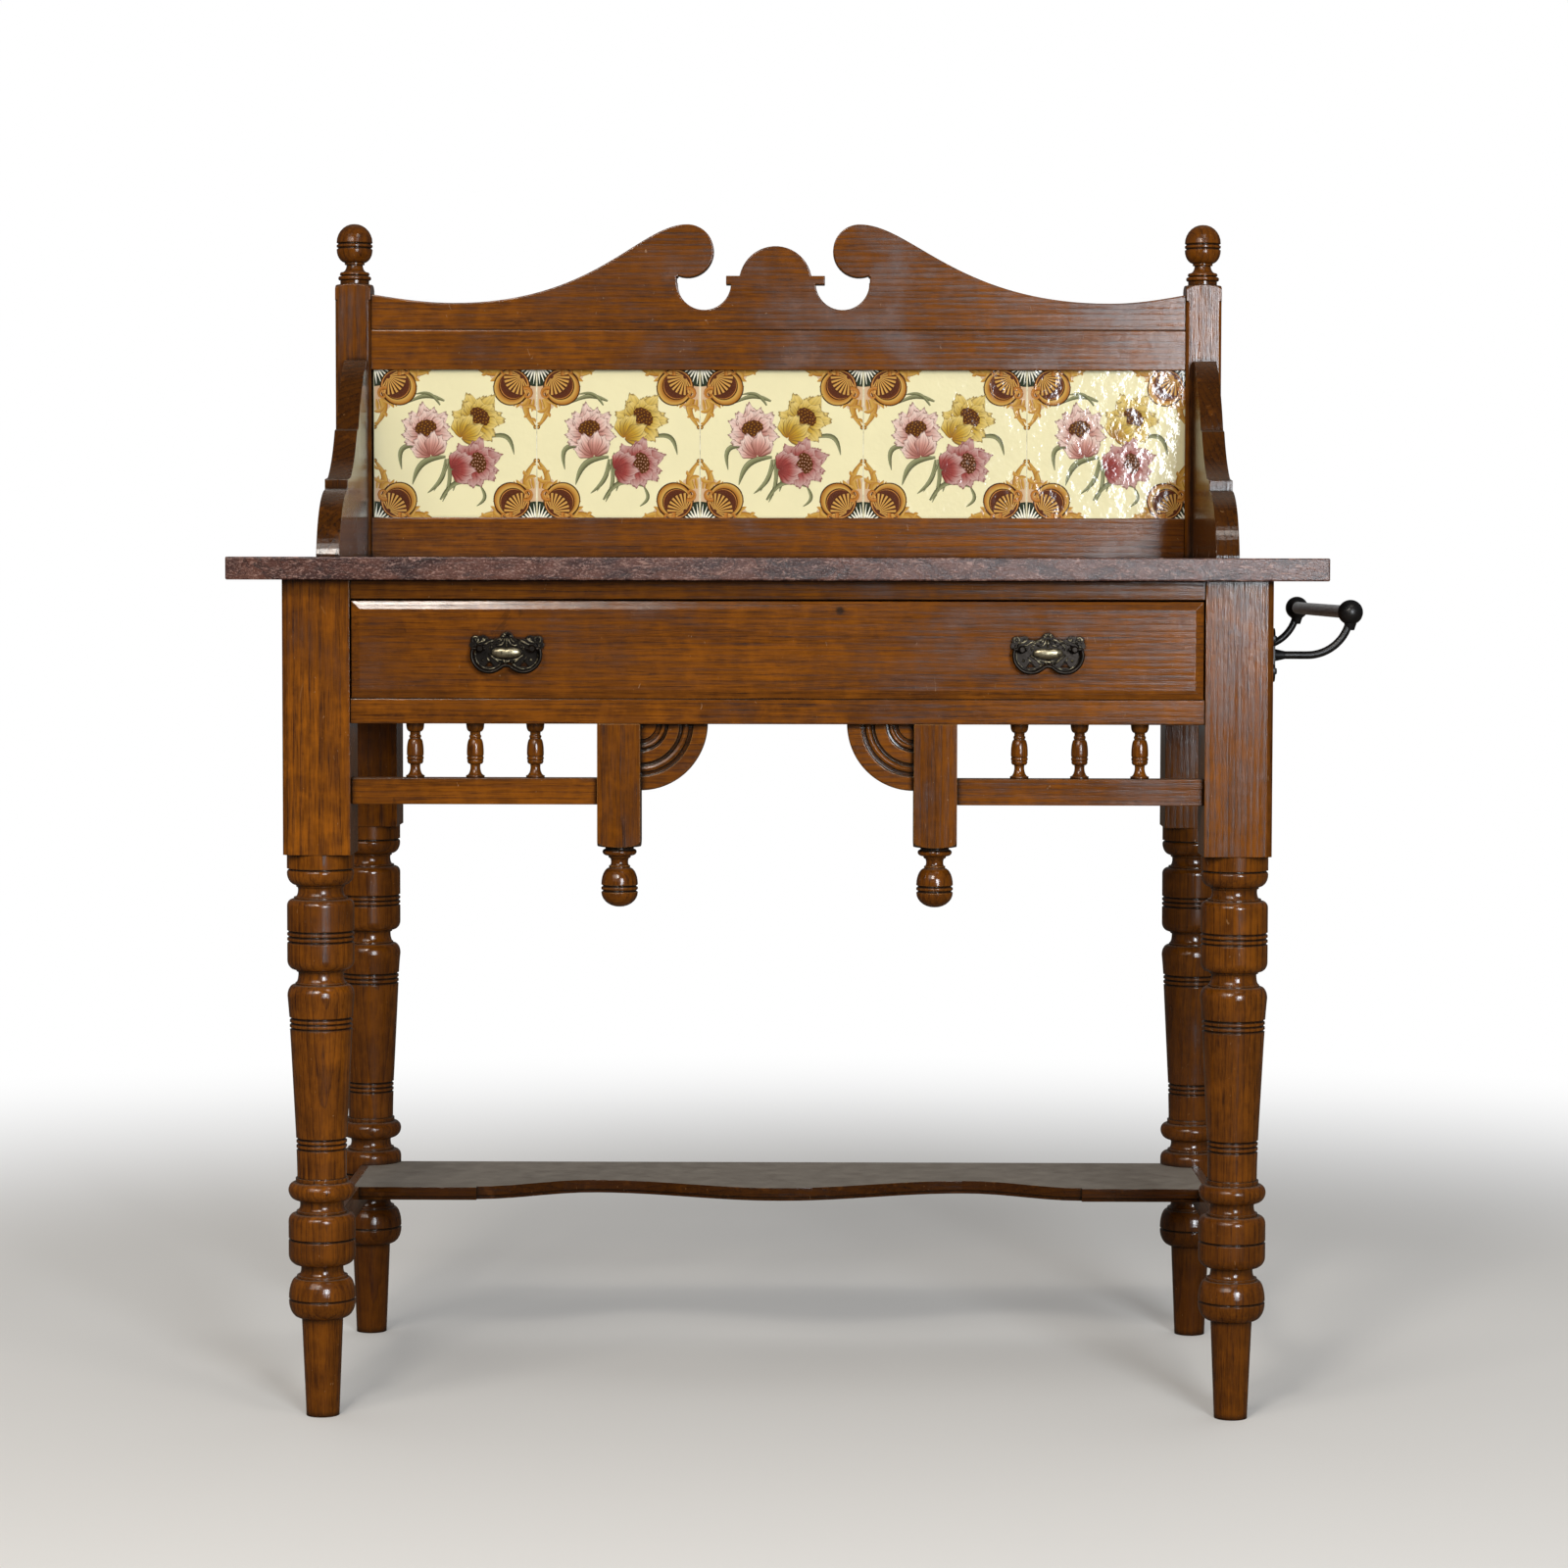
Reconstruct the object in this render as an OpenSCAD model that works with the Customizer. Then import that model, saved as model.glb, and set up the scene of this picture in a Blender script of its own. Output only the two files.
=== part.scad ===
// Washstand with a marble top, a tiled splashback, one drawer and a towel rail.
// Millimetres. +Z is up and the front faces -Y. Pieces are drawn with X from the
// middle of the stand, Y from the back of the slab and Z from the floor, and
// placed() then moves them so that the origin is under the middle of the whole.

/* [Marble top] */
// Width of the slab
marble_w = 914; // [880:1:1000]
// Depth of the slab, front to back
marble_d = 457; // [445:1:520]
// Thickness of the slab
marble_t = 19; // [15:1:30]
// Height of the slab's upper face above the floor
top_h = 728; // [690:1:800]

/* [Frame] */
// Width over the legs
frame_w = 828; // [790:1:860]
// Depth over the legs
frame_d = 432; // [400:1:440]
// Side of the square leg blocks
leg_sq = 57; // [57:1:64]
// Chamfer on the outer front corner of a leg block
leg_chamfer = 5; // [2:0.5:8]
// Height of the square leg blocks
block_h = 230.5; // [215:0.5:250]
// Thickness of the side and back aprons
apron_t = 19; // [15:1:22]
// How far the side aprons stand in from the legs' outer faces
apron_setback = 4; // [2:0.5:8]
// Thickness of the tenons on aprons and rails
tenon_t = 8; // [6:0.5:10]
// Length of the tenons on aprons and rails
tenon_l = 22; // [14:1:24]
// Distance from a rail's edge to its tenon's edge
tenon_shoulder = 8; // [4:1:12]
// Clearance of a glued joint, each side
joint_gap = 0.1; // [0.05:0.05:0.3]

/* [Front rails] */
// Thickness of the rail over the drawer
top_rail_t = 16; // [12:1:20]
// Height of the drawer opening
opening_h = 83; // [78:1:92]
// Thickness of the rail under the drawer
lower_rail_t = 21; // [18:1:26]
// Depth of both front rails, front to back
front_rail_d = 46; // [42:1:52]
// How far the front rails stand behind the leg faces
front_setback = 1.5; // [1:0.5:4]

/* [Leg turning] */
// Widest diameter of beads, barrels and ball
turned_d = 56.5; // [46:0.5:57]
// Diameter of the coves between the members
cove_d = 38; // [32:1:39]
// Diameter of the fillets beside the coves
fillet_d = 43; // [41:1:46]
// Diameter of the tapered shaft at its upper end
shaft_top_d = 52.5; // [46:0.5:54]
// Diameter of the tapered shaft at its lower end
shaft_foot_d = 41.5; // [37:0.5:44]
// Height of the lower barrel's middle, where the stretchers enter
barrel_mid_z = 151; // [140:1:165]
// Height of the barrel members
upper_barrel_h = 60; // [54:1:66]
// Height of the lower barrel
lower_barrel_h = 44; // [42:1:50]
// Height of the ball above the foot
ball_h = 34; // [30:1:38]
// Diameter of the foot under the ball
foot_top_d = 35; // [30:1:40]
// Diameter of the foot on the floor
foot_d = 28; // [20:1:30]
// Width of a scribed groove
groove_w = 2.4; // [1.5:0.1:3]
// Depth of a scribed groove
groove_deep = 1.6; // [0.6:0.1:2]

/* [Gallery under the drawer] */
// Distance from the middle of the stand to a pendant's middle
pendant_x = 132.5; // [115:0.5:150]
// Side of the square pendants
pendant_sq = 36; // [32:1:40]
// Height of a pendant's square part
pendant_h = 104; // [98:1:120]
// Clear height of the spindles
spindle_h = 46; // [40:1:55]
// Distance from spindle to spindle
spindle_pitch = 50.5; // [46:0.5:54]
// Largest diameter of a spindle
spindle_d = 15.6; // [13:0.2:18]
// Diameter of the pins on the spindles' ends
spindle_pin_d = 7; // [5:0.5:8]
// Length of the pins on the spindles' ends
spindle_pin_l = 8; // [6:1:10]
// Height of the gallery rail
gallery_rail_h = 22; // [18:1:26]
// Depth of the gallery rail, front to back
gallery_rail_d = 20; // [18:1:26]
// Radius of the quarter-round brackets
bracket_r = 56; // [50:1:64]
// Thickness of the quarter-round brackets
bracket_t = 20; // [16:1:24]

/* [Under-shelf] */
// Height of the shelf's upper face
shelf_z = 161; // [158:1:164]
// Thickness of the shelf
shelf_t = 12; // [10:0.5:14]
// Depth of the shelf at its ends and in the middle
shelf_d = 158; // [140:1:180]
// How far the shelf's front curves in on each side
shelf_curve = 46; // [20:1:60]
// Length of the straight front at each end of the shelf
shelf_straight = 84; // [70:1:110]
// Height of the side stretchers
stretcher_h = 24; // [20:1:26]
// Thickness of the side stretchers
stretcher_t = 13; // [11:0.5:16]
// How deep the shelf is let into the stretchers
shelf_housing = 5; // [3:0.5:7]

/* [Splashback] */
// Side of the square splashback posts
post_sq = 33; // [32:1:40]
// How far the posts stand in from the frame's sides
post_inset = 2; // [0:0.5:6]
// How far the splashback sits to the right of the middle
splash_shift = -3.5; // [-4:0.5:4]
// Width of the chamfers on a post's front corners
post_chamfer = 2.5; // [1:0.5:4]
// Height of the posts' square part above the slab
post_h = 255; // [245:1:270]
// Height of the turned finials
finial_h = 56; // [50:1:62]
// Diameter of the finials' balls
finial_ball_d = 33.4; // [28:0.2:36]
// Width and height of a wall tile
tile_sq = 152.4; // [150:0.1:154]
// Thickness of a wall tile
tile_t = 8; // [6:0.5:10]
// Number of wall tiles
tile_count = 5; // [5:1:5]
// Height of the rail under the tiles
splash_bottom_h = 38; // [32:1:44]
// Height of the rail over the tiles
splash_top_h = 37; // [32:1:44]
// Thickness of the splashback rails
splash_rail_t = 22; // [20:1:28]
// How far the splashback rails stand behind the posts' faces
splash_setback = 2; // [1:0.5:4]
// How much of a tile's edge the rails cover
tile_cover = 7.6; // [5:0.1:10]
// Thickness of wood in front of the tiles' edges
tile_lip = 6; // [5:0.5:8]
// Thickness of the board behind the tiles
tile_board_t = 6; // [4:0.5:8]
// Thickness of the fixing battens on the back
batten_t = 12; // [9:1:16]

/* [Crest] */
// Thickness of the crest board
crest_t = 19; // [15:1:22]
// How far the crest's face stands behind the rail under it
crest_setback = 1.5; // [0.5:0.5:3]
// How far the scrolls sit to the right of the middle
crest_shift = -8; // [-10:1:10]
// How far the dome sits to the right of the scrolls' middle
dome_shift = 2; // [-4:1:4]
// Height of the crest board's ends
crest_end_h = 33; // [28:1:40]
// Least height of the crest between its end and its scroll
crest_low_h = 25; // [20:1:28]
// Height of the crest at the top of its scrolls
crest_peak_h = 98; // [88:1:104]
// Distance from the middle to the lowest point of the sweep
crest_low_x = 305; // [290:1:320]
// Distance from the middle to the centre of a scroll
scroll_x = 80; // [77:0.5:90]
// Radius of a scroll
scroll_r = 24.5; // [22:0.5:26]
// Radius of the hollow beside a scroll
hollow_r = 25; // [22:0.5:26]
// Radius of the dome in the middle
dome_r = 34; // [30:0.5:36]
// Height of the dome above its ears
dome_h = 27.5; // [24:0.5:29]
// Half the width over the dome's ears
ear_half = 46; // [43:0.5:48]
// Height of the dome's ears
ear_h = 8; // [5:0.5:9]

/* [Wings] */
// Thickness of the side wings
wing_t = 20.5; // [14:0.5:22]
// How far the wings stand in from the frame's sides
wing_setback = 10; // [8:1:14]
// How far the wings sit to the right of the middle
wing_shift = -1.5; // [-2:0.5:2]
// Height of the side wings
wing_h = 183; // [170:1:200]
// How far the wings reach forward of the posts
wing_reach = 231; // [210:1:250]

/* [Drawer] */
// Thickness of the drawer's front
drawer_front_t = 20; // [18:1:24]
// Width of the bevel round the drawer's front
drawer_bevel_w = 7; // [4:0.5:10]
// Depth of the bevel round the drawer's front
drawer_bevel_d = 2; // [1.5:0.5:6]
// Clearance between the drawer's front and its opening
drawer_gap = 1.5; // [1:0.1:2.5]
// Clearance under the drawer's sides
drawer_run_gap = 0.3; // [0.2:0.05:0.6]
// Thickness of the drawer's sides
drawer_side_t = 11; // [9:1:14]
// Thickness of the drawer's back
drawer_back_t = 11; // [9:1:14]
// Thickness of the drawer's bottom
drawer_bottom_t = 7; // [5:0.5:8]
// Depth of the groove that holds the drawer's bottom
drawer_groove = 5; // [3:0.5:6]
// Height from the drawer's lower edge to its bottom
drawer_bottom_lift = 9; // [8:0.5:12]
// Space behind the closed drawer
drawer_back_space = 12; // [8:1:30]
// Thickness of the runners beside the lower rail
runner_w = 24; // [18:1:26]

/* [Drawer pulls] */
// Distance from the middle of the stand to a pull's middle
pull_x = 225.5; // [200:0.5:250]
// Half the distance between a pull's two posts
pull_half = 21.8; // [20:0.1:23]
// Thickness of a pull's back plate
plate_t = 2; // [1.5:0.1:2.5]
// Distance from the drawer's face to the bail's pivot line
pivot_out = 8.4; // [7.5:0.1:10]
// Diameter of the bail's rod
bail_d = 3; // [2.6:0.1:3.2]
// Clearance round the bail's pivot ends
bail_gap = 0.08; // [0.04:0.01:0.1]
// Radius of the bail's two lobes
bail_lobe_r = 14.4; // [14:0.1:15]
// Diameter of a pull's posts
pull_post_d = 6.4; // [5.6:0.1:7]

/* [Towel rail] */
// Distance from the leg's face to the rod's centre
rod_out = 67; // [55:1:80]
// Diameter of the rod
rod_d = 11; // [8:0.5:13]
// Diameter of the ball ends
rail_ball_d = 21; // [19:0.5:26]
// Height of the rod's centre under the slab
rod_drop = 26; // [20:1:40]
// Height of the arms' wall plates
arm_plate_h = 45; // [40:1:55]
// Width of the arms' wall plates
arm_plate_w = 18; // [14:1:24]
// Diameter of the arms
arm_d = 6.6; // [5:0.2:8]

/* [Hidden] */
SPINDLE_NODES = [for (i = [1 : 6]) str("spindle_", i)];
TILE_NODES = [for (i = [1 : tile_count]) str("tile_", i)];

WOOD = "saddlebrown";
DARK_WOOD = "sienna";
PALE_WOOD = "burlywood";
IRON = "dimgray";

// Facets of a full round, and steps in a quarter of a turned member
ROUND = 64;
ARC_STEPS = 7;
// Cuts run this far past the face they open
PAST = 1;

marble_under = top_h - marble_t;
block_bottom = marble_under - block_h;
leg_x = (frame_w - leg_sq) / 2;
leg_back_y = -leg_sq / 2;
leg_front_y = leg_sq / 2 - frame_d;
inner_x = frame_w / 2 - leg_sq;
frame_front_y = -frame_d;
opening_top = marble_under - top_rail_t;
opening_bottom = opening_top - opening_h;
frame_under = opening_bottom - lower_rail_t;
rail_front_y = frame_front_y + front_setback;
apron_h = marble_under - frame_under;
side_apron_x = frame_w / 2 - apron_setback - apron_t / 2;

pendant_y = rail_front_y + pendant_sq / 2;
spindle_mid_x = (inner_x + pendant_x + pendant_sq / 2) / 2;
gallery_top = frame_under - spindle_h;
bracket_y = pendant_y;

splash_half = frame_w / 2 - post_inset - post_sq;
post_x = splash_half + post_sq / 2;
tile_z = top_h + splash_bottom_h - tile_cover;
splash_rail_z = tile_z + tile_sq - tile_cover;
crest_z = splash_rail_z + splash_top_h;
splash_front_y = splash_setback - post_sq;
tile_front_y = splash_front_y + tile_lip;
tile_row_half = tile_count * tile_sq / 2;
tile_board_y = tile_front_y + tile_t + joint_gap;
// How far the board behind the tiles is let into the posts
board_housing = 4;

drawer_z = opening_bottom + drawer_run_gap;
drawer_front_y = frame_front_y - 1;
drawer_back_y = drawer_front_y + drawer_front_t;
drawer_half = inner_x - drawer_gap;
drawer_front_h = opening_h - drawer_run_gap - drawer_gap;
drawer_side_h = drawer_front_h - 5;
drawer_end_y = -apron_t - drawer_back_space;
lap_t = 7;
drawer_floor_z = drawer_z + drawer_bottom_lift;
drawer_inner_half = drawer_half - drawer_side_t;

pull_z = drawer_z + drawer_front_h / 2 + 1;
pivot_y = drawer_front_y - pivot_out;

rod_x = frame_w / 2 + rod_out;
rod_z = marble_under - rod_drop;
arm_z = rod_z - 36;
socket_l = 6;
origin_x = (rod_x + rail_ball_d / 2 - marble_w / 2) / 2;
origin_y = (batten_t - marble_d) / 2;

// ---------- turning ----------

// A quarter ellipse from radius a to radius b over a drop of h, below drop z.
// It leaves flat when lead is true and upright when lead is false.
function quarter(a, b, z, h, lead) = [
    for (i = [1 : ARC_STEPS])
        let (t = 90 * i / ARC_STEPS)
        lead
            ? [a + (b - a) * sin(t), z + h * (1 - cos(t))]
            : [a + (b - a) * (1 - cos(t)), z + h * sin(t)]
];

// The outline of one member, from its top at drop z: [radius, drop] points.
// line: from radius a to b.  groove: a scribed V in a line of radius a.
// over, under: quarter rounds that swell to b or close to b.
// bead, cove: from a through the extreme c to b.
function member(kind, h, a, b, c, z) =
    kind == "line" ? [[a, z], [b, z + h]]
    : kind == "groove" ? [[a, z], [a - groove_deep, z + h / 2], [a, z + h]]
    : kind == "over" ? concat([[a, z]], quarter(a, b, z, h, true))
    : kind == "under" ? concat([[a, z]], quarter(a, b, z, h, false))
    : let (split = h * abs(c - a) / (abs(c - a) + abs(c - b)))
        concat(
            [[a, z]],
            quarter(a, c, z, split, true),
            quarter(c, b, z + split, h - split, false)
        );

// Height of the members from number i on
function stack_h(members, i = 0) =
    i >= len(members) ? 0 : members[i][1] + stack_h(members, i + 1);

// Outline of a whole stack of members, each [kind, height, a, b, c]
function stack(members, i = 0, z = 0) =
    i >= len(members) ? []
    : concat(
        member(members[i][0], members[i][1], members[i][2], members[i][3], members[i][4], z),
        stack(members, i + 1, z + members[i][1])
    );

// A turned piece that hangs down from the origin
module turned(members) {
    outline = stack(members);
    bottom = outline[len(outline) - 1][1];
    rotate_extrude($fn = ROUND)
        polygon(concat([[0, 0]], [for (p = outline) [p[0], -p[1]]], [[0, -bottom]]));
}

// ---------- small builders ----------

module placed() {
    translate([-origin_x, -origin_y, 0])
        children();
}

// A box from its least corner
module box(x, y, z, w, d, h) {
    translate([x, y, z])
        cube([w, d, h]);
}

// A square-edged rail between x and -x, from y back by d and up from z by h
module cross_rail(half, y, z, d, h) {
    box(-half, y, z, 2 * half, d, h);
}

// An outline in the X-Z plane made into a board of thickness t, its front at y
module upright_board(y, t) {
    translate([0, y + t, 0])
        rotate([90, 0, 0])
            linear_extrude(height = t)
                children();
}

// An outline in the Y-Z plane made into a board of thickness t from x on
module side_board(x, t) {
    translate([x, 0, 0])
        rotate([90, 0, 90])
            linear_extrude(height = t)
                children();
}

// ---------- marble ----------

module marble_top() {
    color("rosybrown")
        cross_rail(marble_w / 2, -marble_d, marble_under, marble_d, marble_t);
}

// ---------- legs ----------

turned_r = turned_d / 2;
cove_r = cove_d / 2;
fillet_r = fillet_d / 2;
shaft_top_r = shaft_top_d / 2;
shaft_foot_r = shaft_foot_d / 2;
foot_h = barrel_mid_z - lower_barrel_h / 2 - 11 - ball_h;

// Three scribed grooves with ridges between, on radius r
function three_grooves(r) = [
    for (i = [0 : 4])
        i % 2 == 0 ? ["groove", groove_w, r] : ["line", 1.8, r, r]
];

neck_members = [
    ["line", 12.5, turned_r, turned_r],
    ["line", 1, turned_r - 2, turned_r - 2],
    ["bead", 13.2, turned_r - 2, fillet_r - 1, turned_r],
    ["line", 1.5, fillet_r - 1, fillet_r - 1],
    ["cove", 8.6, cove_r + 1, fillet_r, cove_r],
    ["line", 1.6, fillet_r + 1, fillet_r + 1]
];
upper_barrel_members = concat(
    [
        ["over", 5.5, fillet_r + 1.5, turned_r],
        ["line", upper_barrel_h * 0.35, turned_r, turned_r]
    ],
    three_grooves(turned_r),
    [
        ["line", upper_barrel_h * 0.65 - 24.3, turned_r, turned_r],
        ["under", 8, turned_r, fillet_r]
    ]
);
vase_members = concat(
    [
        ["line", 1.5, fillet_r - 1, fillet_r - 1],
        ["cove", 9.5, cove_r + 0.5, fillet_r, cove_r],
        ["line", 1.5, fillet_r, fillet_r],
        ["over", 9.5, fillet_r + 1, turned_r],
        ["line", 18, turned_r, shaft_top_r + 0.5]
    ],
    three_grooves(shaft_top_r + 0.2)
);
shaft_end_members = concat(
    three_grooves(shaft_foot_r + 0.6),
    [
        ["line", 23.5, shaft_foot_r + 0.5, shaft_foot_r],
        ["line", 3.5, fillet_r + 0.6, fillet_r + 0.6],
        ["bead", 15.5, fillet_r + 1, cove_r + 1.5, turned_r],
        ["cove", 9, cove_r + 1, fillet_r - 0.5, cove_r - 0.6],
        ["line", 2.2, fillet_r, fillet_r]
    ]
);
lower_barrel_members = [
    ["over", 6.5, fillet_r + 1.5, turned_r],
    ["line", lower_barrel_h / 2 - 6.5 - groove_w / 2, turned_r, turned_r],
    ["groove", groove_w, turned_r],
    ["line", lower_barrel_h / 2 - 9 - groove_w / 2, turned_r, turned_r],
    ["under", 9, turned_r, cove_r + 1]
];
foot_members = [
    ["cove", 9, cove_r, fillet_r - 1, cove_r - 1.2],
    ["line", 2, fillet_r, fillet_r],
    ["over", ball_h * 0.5, fillet_r + 0.5, turned_r],
    ["groove", groove_w, turned_r],
    ["under", ball_h * 0.5 - groove_w, turned_r, foot_top_d / 2 + 1.5],
    ["line", foot_h, foot_top_d / 2, foot_d / 2]
];
upper_members = concat(neck_members, upper_barrel_members, vase_members);
lower_members = concat(shaft_end_members, lower_barrel_members, foot_members);
shaft_h = block_bottom - stack_h(upper_members) - stack_h(lower_members);
leg_members = concat(
    upper_members,
    [["line", shaft_h, shaft_top_r, shaft_foot_r + 0.8]],
    lower_members
);

// The leg block's outline: the corner at +X, -Y is chamfered
module block_outline() {
    half = leg_sq / 2;
    polygon([
        [-half, -half],
        [half - leg_chamfer, -half],
        [half, leg_chamfer - half],
        [half, half],
        [-half, half]
    ]);
}

// A leg with its foot at the origin, its chamfer towards +X and -Y
module leg_blank(front) {
    translate([0, 0, block_bottom])
        linear_extrude(height = block_h)
            if (front)
                block_outline();
            else
                square(leg_sq, center = true);
    translate([0, 0, block_bottom])
        turned(leg_members);
}

// A leg at x, y, with the chamfer outward, less every tenon that enters it
module leg(side, y, front) {
    color(WOOD)
        difference() {
            translate([side * leg_x, y, 0])
                mirror([side < 0 ? 1 : 0, 0, 0])
                    leg_blank(front);
            side_apron_tenon(side, front, joint_gap);
            stretcher_tenon(side, front, joint_gap);
            if (front) {
                lower_rail_tenon(side, joint_gap);
                gallery_rail_tenon(side, joint_gap);
                top_rail_end(side, joint_gap);
            } else {
                back_apron_tenon(side, joint_gap);
                batten_screws_at(side, joint_gap);
            }
        }
}

// ---------- aprons and front rails ----------

// A tenon along Y at the end of a side apron
module side_apron_tenon(side, front, grow) {
    y = front ? leg_sq - frame_d - tenon_l - grow : -leg_sq;
    box(
        side * side_apron_x - tenon_t / 2 - grow, y, frame_under + tenon_shoulder - grow,
        tenon_t + 2 * grow, tenon_l + grow, apron_h - 2 * tenon_shoulder + 2 * grow
    );
}

module side_apron(side) {
    color(WOOD)
        union() {
            box(
                side * side_apron_x - apron_t / 2, leg_sq - frame_d, frame_under,
                apron_t, frame_d - 2 * leg_sq, apron_h
            );
            side_apron_tenon(side, true, 0);
            side_apron_tenon(side, false, 0);
        }
}

// A tenon along X at the end of the back apron
module back_apron_tenon(side, grow) {
    box(
        side > 0 ? inner_x : -inner_x - tenon_l - grow,
        -apron_t / 2 - tenon_t / 2 - grow, frame_under + tenon_shoulder - grow,
        tenon_l + grow, tenon_t + 2 * grow, apron_h - 2 * tenon_shoulder + 2 * grow
    );
}

module back_apron() {
    color(WOOD)
        union() {
            cross_rail(inner_x, -apron_t, frame_under, apron_t, apron_h);
            back_apron_tenon(-1, 0);
            back_apron_tenon(1, 0);
        }
}

// The dovetailed end of the top rail, let into the top of a leg
module top_rail_end(side, grow) {
    reach = tenon_l;
    narrow = front_rail_d / 2;
    translate([side * inner_x, rail_front_y + front_rail_d / 2, opening_top - grow])
        mirror([side < 0 ? 1 : 0, 0, 0])
            linear_extrude(height = top_rail_t + grow + (grow > 0 ? PAST : 0))
                polygon([
                    [-joint_gap, -narrow / 2 - grow],
                    [reach + grow, -narrow / 2 - 3 - grow],
                    [reach + grow, narrow / 2 + 3 + grow],
                    [-joint_gap, narrow / 2 + grow]
                ]);
}

module front_top_rail() {
    color(WOOD)
        union() {
            cross_rail(inner_x, rail_front_y, opening_top, front_rail_d, top_rail_t);
            top_rail_end(-1, 0);
            top_rail_end(1, 0);
        }
}

module lower_rail_tenon(side, grow) {
    box(
        side > 0 ? inner_x : -inner_x - tenon_l - grow,
        rail_front_y + tenon_shoulder - grow, frame_under + lower_rail_t / 2 - tenon_t / 2 - grow,
        tenon_l + grow, front_rail_d - 2 * tenon_shoulder + 2 * grow, tenon_t + 2 * grow
    );
}

module front_lower_rail() {
    color(WOOD)
        difference() {
            union() {
                cross_rail(inner_x, rail_front_y, frame_under, front_rail_d, lower_rail_t);
                lower_rail_tenon(-1, 0);
                lower_rail_tenon(1, 0);
            }
            for (i = [0 : 5])
                spindle_pin(i, true, joint_gap);
            for (side = [-1, 1])
                pendant_tenon(side, joint_gap);
        }
}

// ---------- drawer carcase strips ----------

strip_front_y = leg_sq - frame_d;
strip_l = frame_d - 2 * leg_sq;
apron_inner_x = side_apron_x - apron_t / 2;
runner_x = inner_x - runner_w;
guide_h = 16;

module pair_of_strips(x, z, w, h) {
    color(PALE_WOOD)
        for (side = [-1, 1])
            mirror([side < 0 ? 1 : 0, 0, 0])
                box(x, strip_front_y, z, w, strip_l, h);
}

module drawer_runners() {
    pair_of_strips(runner_x, frame_under, apron_inner_x - runner_x, lower_rail_t);
}

module drawer_guides() {
    pair_of_strips(inner_x, opening_bottom, apron_inner_x - inner_x, guide_h);
}

module drawer_kickers() {
    pair_of_strips(runner_x, opening_top, apron_inner_x - runner_x, top_rail_t);
}

stop_h = drawer_bottom_lift - 3;
stop_w = 40;
stop_d = 16;

module drawer_stops() {
    color(PALE_WOOD)
        for (side = [-1, 1])
            box(
                side * pendant_x - stop_w / 2, drawer_back_y + drawer_run_gap, opening_bottom,
                stop_w, stop_d, stop_h
            );
}

// ---------- gallery ----------

spindle_r = spindle_d / 2;
spindle_members = [
    ["line", 2, spindle_r, spindle_r - 0.3],
    ["under", 5.5, spindle_r - 0.3, 4.4],
    ["line", 2.5, 4.4, 4.3],
    ["bead", 2.6, 4.3, 4.4, 5.1],
    ["line", 0.6, 4.6, 4.6],
    ["over", 11, 4.7, spindle_r - 0.7],
    ["line", spindle_h - 44.2, spindle_r - 0.7, spindle_r - 0.7],
    ["under", 2, spindle_r - 0.7, spindle_r - 1.6],
    ["bead", 3, spindle_r - 1.6, spindle_r - 1.6, spindle_r - 0.7],
    ["bead", 3.6, spindle_r - 1.6, 4.6, spindle_r - 1],
    ["line", 1.6, 4.3, 4.2],
    ["cove", 7.8, 4.2, spindle_r - 0.2, 4.1],
    ["line", 2, spindle_r, spindle_r]
];

// Spindles 0 to 2 are in the left bay and 3 to 5 in the right bay
function spindle_x(i) =
    i < 3
        ? -spindle_mid_x + (i - 1) * spindle_pitch
        : spindle_mid_x + (i - 4) * spindle_pitch;

module spindle_pin(i, top, grow) {
    z = top ? frame_under : gallery_top - spindle_pin_l - grow;
    translate([spindle_x(i), pendant_y, z])
        cylinder(h = spindle_pin_l + grow, d = spindle_pin_d + 2 * grow, $fn = ROUND / 2);
}

module spindle(i) {
    color(DARK_WOOD)
        union() {
            translate([spindle_x(i), pendant_y, frame_under])
                turned(spindle_members);
            spindle_pin(i, true, 0);
            spindle_pin(i, false, 0);
        }
}

gallery_tenon_l = 14;

module gallery_rail_tenon(side, grow) {
    box(
        side > 0 ? inner_x : -inner_x - gallery_tenon_l - grow,
        pendant_y - tenon_t / 2 - grow, gallery_top - gallery_rail_h / 2 - tenon_t / 2 - grow,
        gallery_tenon_l + grow, tenon_t + 2 * grow, tenon_t + 2 * grow
    );
}

module gallery_pendant_tenon(side, grow) {
    x = pendant_x + pendant_sq / 2;
    box(
        side > 0 ? x - gallery_tenon_l - grow : -x,
        pendant_y - tenon_t / 2 - grow, gallery_top - gallery_rail_h / 2 - tenon_t / 2 - grow,
        gallery_tenon_l + grow, tenon_t + 2 * grow, tenon_t + 2 * grow
    );
}

module gallery_rail(side) {
    x = pendant_x + pendant_sq / 2;
    color(WOOD)
        difference() {
            union() {
                box(
                    side > 0 ? x : -inner_x, pendant_y - gallery_rail_d / 2,
                    gallery_top - gallery_rail_h,
                    inner_x - x, gallery_rail_d, gallery_rail_h
                );
                gallery_rail_tenon(side, 0);
                gallery_pendant_tenon(side, 0);
            }
            for (i = [0 : 5])
                spindle_pin(i, false, joint_gap);
        }
}

// A square end that the turner's cut rounds off: square of side w, the round
// cut falling by drop from the face's middle radius to the corners
module shouldered_end(w, drop) {
    corner_r = w * 0.5 * sqrt(2);
    intersection() {
        box(-w / 2, -w / 2, -drop, w, w, drop);
        turned([
            ["over", drop, w * 0.36, corner_r + 0.2]
        ]);
    }
}

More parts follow.
